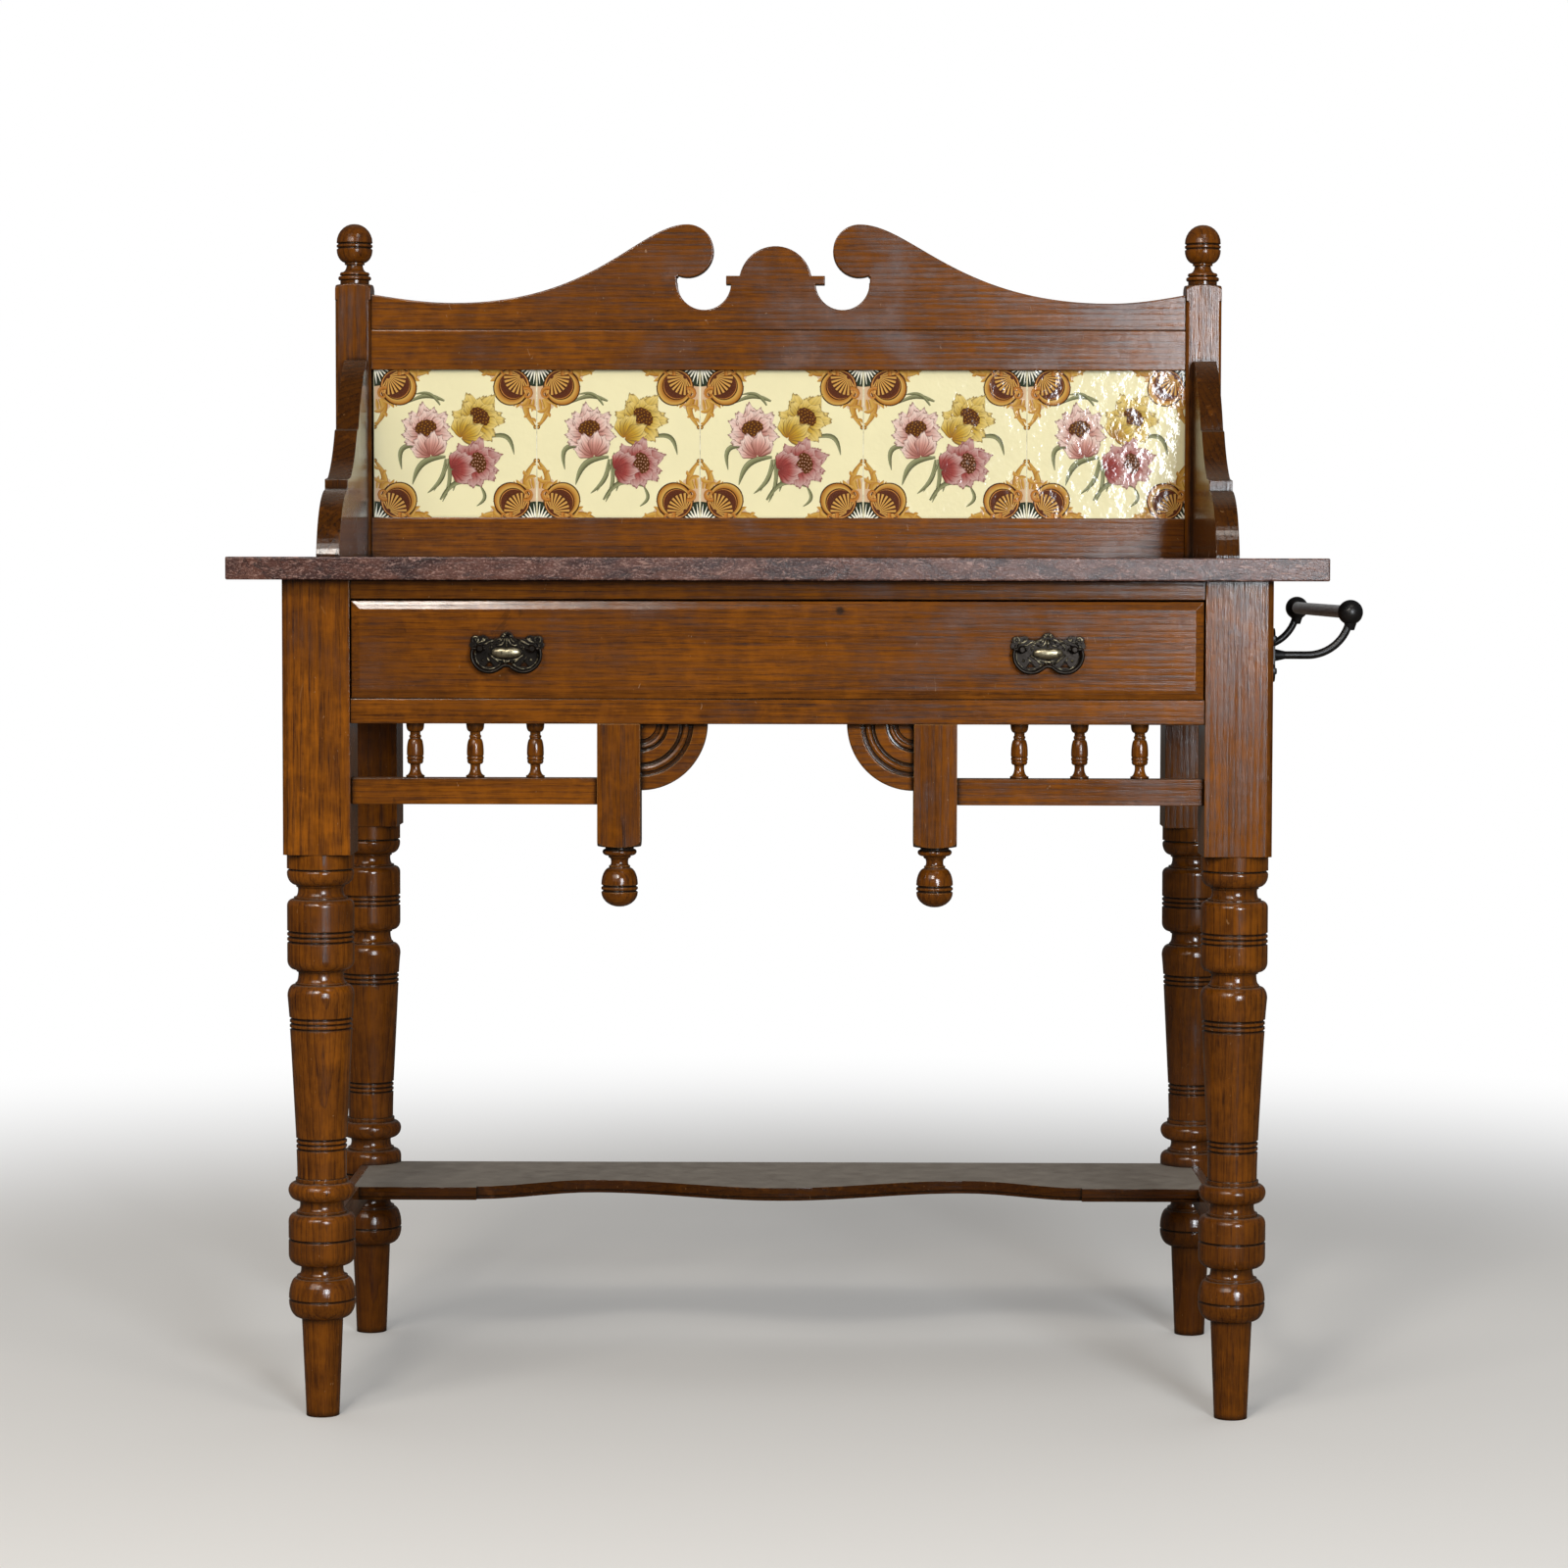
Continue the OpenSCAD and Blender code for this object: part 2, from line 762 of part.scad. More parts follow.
shoulder_drop = 6.5;
pendant_ball_r = finial_ball_d / 2 - 1.3;
drop_members = [
    ["line", 1.6, 12, 12],
    ["bead", 5.6, 11.5, 10.5, 14.4],
    ["line", 2, 9.8, 9],
    ["cove", 6.4, 8.6, 8.4, 7.2],
    ["line", 1.8, 8.9, 8.9],
    ["over", 14.2, 8.2, pendant_ball_r],
    ["groove", groove_w, pendant_ball_r],
    ["line", 1.6, pendant_ball_r, pendant_ball_r],
    ["groove", groove_w, pendant_ball_r],
    ["under", 12.5, pendant_ball_r, 0.5]
];
pendant_tenon_sq = 14;

module pendant_tenon(side, grow) {
    translate([side * pendant_x, pendant_y, frame_under])
        box(
            -pendant_tenon_sq / 2 - grow, -pendant_tenon_sq / 2 - grow, 0,
            pendant_tenon_sq + 2 * grow, pendant_tenon_sq + 2 * grow, 12 + grow
        );
}

module pendant(side) {
    square_h = pendant_h - shoulder_drop;
    color(WOOD)
        difference() {
            union() {
                translate([side * pendant_x, pendant_y, frame_under - square_h]) {
                    box(
                        -pendant_sq / 2, -pendant_sq / 2, 0,
                        pendant_sq, pendant_sq, square_h
                    );
                    mirror([0, 0, 1])
                        translate([0, 0, shoulder_drop])
                            shouldered_end(pendant_sq, shoulder_drop);
                    translate([0, 0, -shoulder_drop])
                        turned(drop_members);
                }
                pendant_tenon(side, 0);
            }
            gallery_pendant_tenon(side, joint_gap);
        }
}

// The bracket's face from its rim inward: [share of its radius, depth]. A flat
// band, a hollow with a bead in it, a second band and hollow, and a boss.
bracket_profile = [
    [1, 1.2], [0.98, 0], [0.795, 0], [0.785, 3], [0.735, 3.2], [0.72, 1.2],
    [0.68, 0.4], [0.645, 1.2], [0.63, 3.2], [0.595, 3], [0.582, 0], [0.425, 0],
    [0.415, 2.8], [0.385, 3], [0.37, 1.1], [0.345, 0.5], [0.32, 1.1], [0.305, 3],
    [0.25, 3], [0.232, 0.6], [0, 0.6]
];

module bracket(side) {
    color(WOOD)
        translate([side * (pendant_x - pendant_sq / 2), bracket_y, frame_under])
            mirror([side > 0 ? 1 : 0, 0, 0])
                rotate([90, 90, 0])
                    rotate_extrude(angle = 90, $fn = ROUND)
                        bracket_section();
}

// Half section of the bracket: rings on the front, flat at the back
module bracket_section() {
    polygon(concat(
        [[0, -bracket_t / 2], [bracket_r, -bracket_t / 2]],
        [for (p = bracket_profile) [p[0] * bracket_r, bracket_t / 2 - p[1]]]
    ));
}

// ---------- under-shelf ----------

shelf_back_y = -leg_sq / 2;
shelf_half = leg_x - stretcher_t / 2 + shelf_housing;

// How far the front line stands in at distance x from the middle: a bulge in
// the middle, a hollow on each side, then a small step to the straight end
shelf_run = leg_x - turned_r - shelf_straight;
hollow_at = shelf_run * 0.62;
function shelf_in(x) =
    abs(x) < hollow_at
        ? shelf_curve * (1 - cos(180 * abs(x) / hollow_at)) / 2
        : 5 + (shelf_curve - 5) * (1 + cos(180 * (abs(x) - hollow_at) / (shelf_run - hollow_at))) / 2;

shelf_steps = 36;
module shelf_outline(inset) {
    curve = [
        for (i = [0 : shelf_steps])
            let (x = -shelf_run + 2 * shelf_run * i / shelf_steps)
            [x, shelf_back_y - shelf_d + shelf_in(x) + inset]
    ];
    polygon(concat(
        [
            [-shelf_half, shelf_back_y],
            [-shelf_half, shelf_back_y - shelf_d + inset],
            [-shelf_run, shelf_back_y - shelf_d + inset]
        ],
        curve,
        [
            [shelf_run, shelf_back_y - shelf_d + inset],
            [shelf_half, shelf_back_y - shelf_d + inset],
            [shelf_half, shelf_back_y]
        ]
    ));
}

bead_t = 3.6;

module under_shelf() {
    color(DARK_WOOD)
        difference() {
            union() {
                translate([0, 0, shelf_z - shelf_t + bead_t])
                    linear_extrude(height = shelf_t - bead_t)
                        shelf_outline(0);
                translate([0, 0, shelf_z - shelf_t])
                    linear_extrude(height = bead_t)
                        shelf_outline(2.5);
            }
            for (side = [-1, 1])
                translate([side * leg_x, leg_back_y, shelf_z - shelf_t - PAST])
                    cylinder(h = shelf_t + 2 * PAST, r = turned_r + joint_gap, $fn = ROUND);
        }
}

stretcher_tenon_d = 12;
stretcher_z = shelf_z - stretcher_h / 2;

module stretcher_tenon(side, front, grow) {
    y = front ? leg_front_y + turned_r : leg_back_y - turned_r;
    l = 16;
    translate([side * leg_x, y - (front ? l : -l) * 0.5, stretcher_z])
        rotate([90, 0, 0])
            cylinder(
                h = l + 8 + 2 * grow, d = stretcher_tenon_d + 2 * grow,
                center = true, $fn = ROUND / 2
            );
}

module stretcher(side) {
    color(WOOD)
        difference() {
            union() {
                difference() {
                    box(
                        side * leg_x - stretcher_t / 2, leg_front_y, shelf_z - stretcher_h,
                        stretcher_t, leg_back_y - leg_front_y, stretcher_h
                    );
                    for (y = [leg_front_y, leg_back_y])
                        translate([side * leg_x, y, shelf_z - stretcher_h - PAST])
                            cylinder(
                                h = stretcher_h + 2 * PAST, r = turned_r + joint_gap, $fn = ROUND
                            );
                }
                stretcher_tenon(side, true, 0);
                stretcher_tenon(side, false, 0);
            }
            box(
                side > 0 ? leg_x - stretcher_t / 2 - PAST : -leg_x + stretcher_t / 2 - shelf_housing,
                shelf_back_y - shelf_d - joint_gap, shelf_z - shelf_t - joint_gap,
                shelf_housing + PAST, shelf_d + joint_gap + PAST, shelf_t + joint_gap + PAST
            );
        }
}

// ---------- splashback ----------

finial_r = finial_ball_d / 2;
finial_members = [
    ["over", finial_h * 0.31, 0.5, finial_r],
    ["groove", groove_w, finial_r],
    ["line", 1.6, finial_r, finial_r],
    ["groove", groove_w, finial_r],
    ["under", finial_h * 0.22, finial_r, 8],
    ["line", 1.8, 9.2, 9.2],
    ["cove", finial_h * 0.47 - 19.3, 8, 12.4, 7.6],
    ["bead", 3, 12.4, 13, 13.8],
    ["line", 0.8, 12.6, 12.6],
    ["bead", 3.6, 14, 14, 15.3],
    ["line", 3.7, 13.4, 13.4]
];

module post(side) {
    color(WOOD)
        difference() {
            translate([side * post_x + splash_shift, -post_sq / 2, top_h]) {
                post_square();
                translate([0, 0, post_h])
                    shouldered_end(post_sq, shoulder_drop);
                translate([0, 0, post_h + stack_h(finial_members)])
                    turned(finial_members);
            }
            tile_groove(side);
            post_rail_tenon(side, top_h, splash_bottom_h, joint_gap);
            post_rail_tenon(side, splash_rail_z, splash_top_h, joint_gap);
            wing_tongue(side, joint_gap);
            batten_screws_at(side, joint_gap);
        }
}

// A post's square length, with chamfers that stop short of the shoulders
chamfer_stop = 9;
module post_square() {
    square_h = post_h - shoulder_drop;
    difference() {
        box(-post_sq / 2, -post_sq / 2, 0, post_sq, post_sq, square_h);
        for (s = [-1, 1])
            translate([s * post_sq / 2, -post_sq / 2, -PAST])
                rotate([0, 0, 45])
                    translate([-post_chamfer / sqrt(2), -post_chamfer / sqrt(2), 0])
                        cube([
                            post_chamfer * sqrt(2), post_chamfer * sqrt(2),
                            square_h - chamfer_stop + PAST
                        ]);
    }
}

// The grooves in a post: for the board behind the tiles, and for the edge of
// the end tile on the side where the row of tiles runs into the post
module tile_groove(side) {
    inner = splash_half + side * splash_shift;
    groove_in_post(side, inner, board_housing + joint_gap, tile_board_y, tile_board_t);
    if (tile_row_half > inner)
        groove_in_post(side, inner, tile_row_half - inner + joint_gap, tile_front_y, tile_t);
}

// A groove that runs deep into a post's inner face, for a board of thickness t
module groove_in_post(side, inner, deep, y, t) {
    box(
        side > 0 ? inner - PAST : -inner - deep, y - joint_gap, tile_z - joint_gap,
        deep + PAST, t + 2 * joint_gap, tile_sq + 2 * joint_gap
    );
}

splash_tenon_l = 14;

module post_rail_tenon(side, z, h, grow) {
    box(
        splash_shift + (side > 0 ? splash_half : -splash_half - splash_tenon_l - grow),
        splash_front_y + splash_rail_t - 3 - tenon_t - grow, z + tenon_shoulder - grow,
        splash_tenon_l + grow, tenon_t + 2 * grow, h - 2 * tenon_shoulder + 2 * grow
    );
}

// A splashback rail, with the rebate that takes the tiles' edges
module splash_rail(z, h, rebate_at_top) {
    rebate_z = rebate_at_top ? z + h - tile_cover - joint_gap : z - PAST;
    color(WOOD)
        difference() {
            union() {
                translate([splash_shift, 0, 0])
                    cross_rail(splash_half, splash_front_y, z, splash_rail_t, h);
                post_rail_tenon(-1, z, h, 0);
                post_rail_tenon(1, z, h, 0);
            }
            cross_rail(
                splash_half + post_sq, tile_front_y - joint_gap, rebate_z,
                splash_rail_t, tile_cover + joint_gap + PAST
            );
        }
}

module splash_bottom_rail() {
    splash_rail(top_h, splash_bottom_h, true);
}

module splash_top_rail() {
    splash_rail(splash_rail_z, splash_top_h, false);
}

// Tile 0 is at the left
module tile(i) {
    color("cornsilk")
        box(
            (i - tile_count / 2) * tile_sq + joint_gap / 2, tile_front_y, tile_z,
            tile_sq - joint_gap, tile_t, tile_sq
        );
}

module tile_board() {
    color(PALE_WOOD)
        translate([splash_shift, 0, 0])
            cross_rail(
                splash_half + board_housing, tile_board_y, tile_z, tile_board_t, tile_sq
            );
}

// The swan-neck sweep, from its lowest point to the top of the scroll: a cubic
// curve that leaves level, with a long pull at the low end and a short one at
// the scroll
sweep_low_pull = 0.61;
sweep_top_pull = 0.21;
sweep_steps = 36;
sweep_rise = crest_peak_h - crest_low_h;
function sweep_x(t) =
    3 * (1 - t) * (1 - t) * t * sweep_low_pull
    + 3 * (1 - t) * t * t * (1 - sweep_top_pull)
    + t * t * t;
function sweep_point(t, scroll) = [
    crest_low_x - (crest_low_x - scroll) * sweep_x(t),
    crest_low_h + sweep_rise * (3 * t * t - 2 * t * t * t)
];
// From the post to the lowest point the edge falls in a shallow hollow
function end_point(t, end) = [
    end - (end - crest_low_x) * t,
    crest_low_h + (crest_end_h - crest_low_h) * (1 - sin(90 * t))
];

hollow_in = 15.6;
neck_out = 10;
hollow_h = crest_peak_h - scroll_r - 29.7;
ear_z = hollow_h - 1.4;

// Half of the crest's outline, with its foot at zero. The scroll's place and
// the rail's end are measured from the stand's middle.
module crest_half(side) {
    scroll = scroll_x + side * crest_shift;
    edge_x = scroll + neck_out;
    scroll_under = crest_peak_h - 2 * scroll_r;
    end = splash_half + side * splash_shift;
    mirror([side < 0 ? 1 : 0, 0]) {
        difference() {
            union() {
                polygon(concat(
                    [[edge_x, 0], [end, 0]],
                    [for (i = [0 : 10]) end_point(i / 10, end)],
                    [for (i = [1 : sweep_steps]) sweep_point(i / sweep_steps, scroll)],
                    [[scroll, scroll_under], [edge_x, scroll_under]]
                ));
                square([edge_x, hollow_h]);
            }
            translate([scroll - hollow_in, hollow_h])
                circle(r = hollow_r, $fn = ROUND);
        }
        translate([scroll, crest_peak_h - scroll_r])
            circle(r = scroll_r, $fn = ROUND);
    }
}

module crest_middle() {
    translate([crest_shift + dome_shift, ear_z]) {
        translate([-ear_half, 0])
            square([2 * ear_half, ear_h]);
        intersection() {
            translate([0, ear_h + dome_h - dome_r])
                circle(r = dome_r, $fn = ROUND);
            translate([-dome_r, 0])
                square([2 * dome_r, dome_h + ear_h + PAST]);
        }
    }
}

module crest_rail() {
    color(WOOD)
        translate([0, 0, crest_z])
            upright_board(splash_front_y + crest_setback, crest_t) {
                crest_half(-1);
                crest_half(1);
                crest_middle();
            }
}

// ---------- wings ----------

wing_inner_x = frame_w / 2 - wing_setback - wing_t;
tongue_l = 6;
tongue_t = 8;

// Points from a to b on a shallow bow that rises to the left of the line
bow_steps = 18;
function bow(a, b, rise) = [
    for (i = [1 : bow_steps])
        let (t = i / bow_steps, run = b - a)
        a + run * t + 4 * rise * t * (1 - t) * [-run[1], run[0]] / norm(run)
];

// A place on the wing, as shares of its reach before the post and its height
function wing_at(reach, height) = [wing_reach * reach, wing_h * height];

// The wing's front from the top: a rounded shoulder, a step, a hollow, an
// upright fillet and a belly down to the slab
shoulder_bow = 7;
hollow_bow = -5;
belly_bow = 11.5;
wing_front = concat(
    [wing_at(0.06, 1)],
    bow(wing_at(0.06, 1), wing_at(0.35, 0.64), shoulder_bow),
    [wing_at(0.395, 0.63)],
    bow(wing_at(0.395, 0.63), wing_at(0.625, 0.39), hollow_bow),
    [wing_at(0.718, 0.38), wing_at(0.718, 0.33), wing_at(0.762, 0.322)],
    bow(wing_at(0.762, 0.322), wing_at(1, 0.015), belly_bow),
    [wing_at(1, 0)]
);

module wing_outline() {
    polygon(concat(
        [[-post_sq, top_h]],
        [for (i = [len(wing_front) - 1 : -1 : 0])
            [-post_sq - wing_front[i][0], top_h + wing_front[i][1]]],
        [[-post_sq, top_h + wing_h]]
    ));
}

// The tongue that lets a wing into the post
module wing_tongue(side, grow) {
    translate([side * (wing_inner_x + wing_t / 2) + wing_shift, 0, 0])
        box(
            -tongue_t / 2 - grow, -post_sq - (grow > 0 ? PAST : 0), top_h + 10 - grow,
            tongue_t + 2 * grow, tongue_l + grow + (grow > 0 ? PAST : 0), wing_h - 20 + 2 * grow
        );
}

module wing(side) {
    color(WOOD)
        union() {
            side_board(wing_shift + (side > 0 ? wing_inner_x : -wing_inner_x - wing_t), wing_t)
                wing_outline();
            wing_tongue(side, 0);
        }
}

// ---------- battens on the back ----------

batten_low = frame_under + 20;
batten_high = splash_rail_z - 6;
batten_screw_z = [batten_low + 25, marble_under - 20, top_h + 30, batten_high - 25];
screw_d = 4;
screw_head_d = 8;
screw_head_h = 3;
// How far the screws reach into the post or leg
screw_bite = 15;

module batten(side) {
    color(WOOD)
        difference() {
            box(
                side * post_x + splash_shift - post_sq / 2, 0, batten_low,
                post_sq, batten_t, batten_high - batten_low
            );
            batten_screws_at(side, joint_gap);
        }
}

// A countersunk screw, its head flush with the batten's back
module batten_screw(side, z, grow) {
    translate([side * post_x + splash_shift, batten_t + (grow > 0 ? PAST : 0), z])
        rotate([90, 0, 0])
            union() {
                cylinder(
                    h = batten_t + screw_bite + (grow > 0 ? PAST : 0) + grow,
                    d = screw_d + 2 * grow, $fn = 32
                );
                cylinder(
                    h = screw_head_h + (grow > 0 ? PAST : 0),
                    d1 = screw_head_d + (grow > 0 ? 2 * (PAST + grow) : 0),
                    d2 = screw_d + 2 * grow, $fn = 32
                );
            }
}

module batten_screws_at(side, grow) {
    for (z = batten_screw_z)
        batten_screw(side, z, grow);
}

module batten_screws() {
    color(IRON)
        for (side = [-1, 1])
            batten_screws_at(side, 0);
}

// ---------- towel rail ----------

arm_plate_t = 3.5;
collar_h = 9;
collar_flare = 4;

// An arm: a wall plate, a stem that leaves it level, a quarter bend up and a
// ball with a socket for the rod. Its ball is at y; the socket faces inward.
module towel_arm(y, inward) {
    bend_r = rod_z - arm_z;
    stem = rod_out - bend_r;
    color(IRON)
        difference() {
            translate([frame_w / 2, y, 0])
                union() {
                    side_board(0, arm_plate_t)
                        arm_plate_outline();
                    translate([0, 0, arm_z])
                        rotate([0, 90, 0]) {
                            cylinder(h = stem, d = arm_d, $fn = ROUND);
                            translate([0, 0, arm_plate_t])
                                cylinder(
                                    h = collar_h, d1 = arm_d + collar_flare, d2 = arm_d,
                                    $fn = ROUND
                                );
                        }
                    translate([stem, 0, arm_z + bend_r])
                        rotate([90, 0, 0])
                            rotate([0, 0, -90])
                                rotate_extrude(angle = 90, $fn = 2 * ROUND)
                                    translate([bend_r, 0])
                                        circle(d = arm_d, $fn = ROUND / 2);
                    translate([rod_out, 0, rod_z - rail_ball_d / 2 - collar_h / 2])
                        cylinder(
                            h = collar_h, d1 = arm_d, d2 = arm_d + 1.5 * collar_flare,
                            $fn = ROUND
                        );
                    translate([rod_out, 0, rod_z])
                        sphere(d = rail_ball_d, $fn = ROUND);
                }
            rod_socket(y, inward);
            for (z = towel_screw_z)
                towel_screw(y, z, joint_gap);
        }
}

// The arm's wall plate: two round lugs joined by a bar, upright on the leg
module arm_plate_outline() {
    reach = arm_plate_h / 2 - arm_plate_w / 2;
    for (s = [-1, 1])
        translate([0, arm_z + s * reach])
            circle(d = arm_plate_w, $fn = ROUND);
    translate([-arm_plate_w / 2 + 2, arm_z - reach])
        square([arm_plate_w - 4, 2 * reach]);
}

towel_screw_z = [
    arm_z - arm_plate_h / 2 + arm_plate_w / 2,
    arm_z + arm_plate_h / 2 - arm_plate_w / 2
];

screw_dome_h = 2;

module towel_screw(y, z, grow) {
    translate([frame_w / 2, y, z])
        rotate([0, 90, 0])
            union() {
                cylinder(h = arm_plate_t + grow, d = screw_d + 2 * grow, $fn = 32);
                translate([0, 0, arm_plate_t])
                    cylinder(h = screw_dome_h, d1 = 1.75 * screw_d, d2 = screw_d + 0.5, $fn = 32);
            }
}

module towel_screws() {
    color(IRON)
        for (y = [leg_front_y, leg_back_y], z = towel_screw_z)
            towel_screw(y, z, 0);
}

module rod_socket(y, inward) {
    deep = rail_ball_d / 2 - socket_l;
    translate([rod_x, y + inward * deep, rod_z])
        rotate([-90 * inward, 0, 0])
            cylinder(h = rail_ball_d, d = rod_d + 2 * joint_gap, $fn = ROUND);
}

module towel_rod() {
    end = rail_ball_d / 2 - socket_l;
    l = leg_back_y - leg_front_y - 2 * end - 2 * joint_gap;
    color("silver")
        translate([rod_x, leg_front_y + end + joint_gap, rod_z])
            rotate([-90, 0, 0])
                cylinder(h = l, d = rod_d, $fn = ROUND);
}

// ---------- drawer ----------

// Tails of a dovetail joint, seen from the side: [along, up] outlines that
// reach l from the joint's shoulder at y, evenly spaced over height h from z
tail_count = 3;
module tails(y, l, z, h, grow) {
    pitch = h / tail_count;
    for (i = [0 : tail_count - 1])
        translate([y, z + (i + 0.5) * pitch])
            polygon([
                [PAST / 2, -pitch * 0.22 - grow],
                [-l - grow, -pitch * 0.32 - grow],
                [-l - grow, pitch * 0.32 + grow],
                [PAST / 2, pitch * 0.22 + grow]
            ]);
}

module drawer_side_tails(side, grow) {
    side_board(side > 0 ? drawer_inner_half - grow : -drawer_half, drawer_side_t + grow)
        tails(drawer_back_y, drawer_front_t - lap_t, drawer_z, drawer_side_h, grow);
}

// The front's outline in plan and in section: both bevelled, so that their
// common part has mitred bevels on all four edges
module bevelled(half, bevel) {
    polygon([
        [-half, 0], [-half, drawer_bevel_d - drawer_front_t],
        [-half + bevel, -drawer_front_t], [half - bevel, -drawer_front_t],
        [half, drawer_bevel_d - drawer_front_t], [half, 0]
    ]);
}

module drawer_front() {
    mid_z = drawer_z + drawer_front_h / 2;
    color(WOOD)
        difference() {
            intersection() {
                translate([0, drawer_back_y, drawer_z])
                    linear_extrude(height = drawer_front_h)
                        bevelled(drawer_half, drawer_bevel_w);
                translate([-drawer_half, drawer_back_y, mid_z])
                    rotate([90, 0, 90])
                        linear_extrude(height = 2 * drawer_half)
                            rotate([0, 0, -90])
                                bevelled(drawer_front_h / 2, drawer_bevel_w);
            }
            for (side = [-1, 1])
                drawer_side_tails(side, joint_gap);
            drawer_bottom_panel(joint_gap);
            for (side = [-1, 1], s = [-1, 1])
                pull_stem(side, s, joint_gap);
        }
}

module drawer_side(side) {
    x = side > 0 ? drawer_inner_half : -drawer_half;
    color(PALE_WOOD)
        difference() {
            union() {
                box(
                    x, drawer_back_y, drawer_z,
                    drawer_side_t, drawer_end_y - drawer_back_y, drawer_side_h
                );
                drawer_side_tails(side, 0);
            }
            drawer_bottom_panel(joint_gap);
            drawer_back_panel(joint_gap);
        }
}

// How far the sides run on behind the drawer's back
drawer_tail = 12;

module drawer_back_panel(grow) {
    half = drawer_inner_half + drawer_groove;
    cross_rail(
        half + grow, drawer_end_y - drawer_tail - drawer_back_t - grow,
        drawer_floor_z + drawer_bottom_t - grow,
        drawer_back_t + 2 * grow, drawer_side_h - drawer_bottom_lift - drawer_bottom_t + 2 * grow
    );
}

module drawer_back() {
    color(PALE_WOOD)
        drawer_back_panel(0);
}

module drawer_bottom_panel(grow) {
    half = drawer_inner_half + drawer_groove;
    y = drawer_back_y - drawer_groove;
    cross_rail(
        half + grow, y - grow, drawer_floor_z - grow,
        drawer_end_y - y + 2 * grow, drawer_bottom_t + 2 * grow
    );
}

module drawer_bottom() {
    color(PALE_WOOD)
        drawer_bottom_panel(0);
}

// ---------- pulls ----------

// Outline of a back plate round the middle of its pivot line: two lobes, a
// body, an ear above each post and a small fan on top, pierced between them
ear_r = 3.5;
ear_x = 26.4;
ear_l = 7;
ear_lift = 7.2;
fan_r = 5.2;
fan_z = 8.6;
arch_r = 20.4;
arch_top = 9.7;
arch_half = 15.5;
body_foot = -8;
// The pierced triangle in a lobe, from the lobe's middle
pierced = [[-4.4, -15], [4.6, -15.4], [0.4, -10]];
lobe_x = 14.3;
lobe_z = -5;
boss_r = 12.2;

module plate_outline() {
    difference() {
        union() {
            for (s = [-1, 1]) {
                translate([s * lobe_x, lobe_z])
                    circle(r = bail_lobe_r - 1.4, $fn = ROUND);
                plate_ear(s);
            }
            translate([4 - pull_half, body_foot])
                square([2 * pull_half - 8, 4 - body_foot]);
            intersection() {
                translate([0, arch_top - arch_r])
                    circle(r = arch_r, $fn = ROUND);
                translate([-arch_half, body_foot])
                    square([2 * arch_half, arch_top - body_foot + PAST]);
            }
            translate([0, fan_z])
                circle(r = fan_r, $fn = ROUND);
        }
        for (s = [-1, 1])
            polygon([for (p = pierced) [s * (lobe_x + p[0]), p[1]]]);
    }
}

// An ear: two rounds with a web between and a small curl below on the outside
module plate_ear(s) {
    for (p = [[ear_x, ear_lift, ear_r], [ear_x - ear_l, ear_lift + 0.6, ear_r - 0.3]])
        translate([s * p[0], p[1]])
            circle(r = p[2], $fn = ROUND);
    translate([s > 0 ? ear_x - ear_l : -ear_x, ear_lift - ear_r + 0.8])
        square([ear_l, 2 * ear_r - 1.2]);
    translate([s * (ear_x + 2), ear_lift - 4.4])
        circle(r = ear_r - 0.8, $fn = ROUND / 2);
}

// A stem runs through the drawer's front behind each post
stem_d = 4;

module pull_stem(side, s, grow) {
    translate([side * pull_x + s * pull_half, drawer_front_y - plate_t, pull_z])
        rotate([-90, 0, 0])
            cylinder(
                h = drawer_front_t + plate_t + (grow > 0 ? PAST : 3),
                d = stem_d + 2 * grow, $fn = 32
            );
}

module pull_plate(side) {
    color(IRON)
        difference() {
            union() {
                translate([side * pull_x, 0, pull_z]) {
                    upright_board(drawer_front_y - plate_t, plate_t)
                        plate_outline();
                    upright_board(drawer_front_y - plate_t - 2, 3)
                        boss_outline();
                    for (s = [-1, 1])
                        translate([s * pull_half, drawer_front_y - plate_t / 2, 0])
                            rotate([90, 0, 0])
                                pull_post();
                }
                for (s = [-1, 1]) {
                    pull_stem(side, s, 0);
                    pull_nut(side, s);
                }
            }
            for (s = [-1, 1])
                bail_end(side, s, bail_gap);
        }
}

// A round post with a domed head, bored across for the bail's end
module pull_post() {
    l = pivot_out + pull_post_d / 2 - plate_t / 2;
    union() {
        cylinder(h = l - 1.5, d = pull_post_d, $fn = 48);
        translate([0, 0, l - 1.5])
            cylinder(h = 1.5, d1 = pull_post_d, d2 = pull_post_d - 2.4, $fn = 48);
    }
}

module pull_nut(side, s) {
    translate([side * pull_x + s * pull_half, drawer_back_y, pull_z])
        rotate([-90, 0, 0])
            cylinder(h = 3, d = 8, $fn = 6);
}

module boss_outline() {
    intersection() {
        translate([0, boss_r - 7.5])
            circle(r = boss_r, $fn = ROUND);
        translate([-boss_r, -8])
            square([2 * boss_r, 6.8]);
    }
}

// ---------- bails ----------

bail_r = bail_d / 2;
end_angle = asin(-lobe_z / bail_lobe_r);
crest_circle_r = 7.2;
lobe_to_crest = bail_lobe_r + crest_circle_r;
meet_angle = acos(lobe_x / lobe_to_crest);
crest_circle_z = lobe_z - sqrt(lobe_to_crest * lobe_to_crest - lobe_x * lobe_x);
outer_x = lobe_x + bail_lobe_r * cos(end_angle);

// The end of a bail that turns in through a post
module bail_end(side, s, grow) {
    l = outer_x - pull_half + pull_post_d / 2 + 1.2;
    translate([side * pull_x + s * (outer_x - l / 2), pivot_y, pull_z])
        rotate([0, 90, 0])
            cylinder(h = l, r = bail_r * 0.9 + grow, center = true, $fn = 32);
}

// Arcs stop this many degrees short of the small knuckles that join them
arc_trim = 0.6;
knuckle_r = bail_r + 0.15;

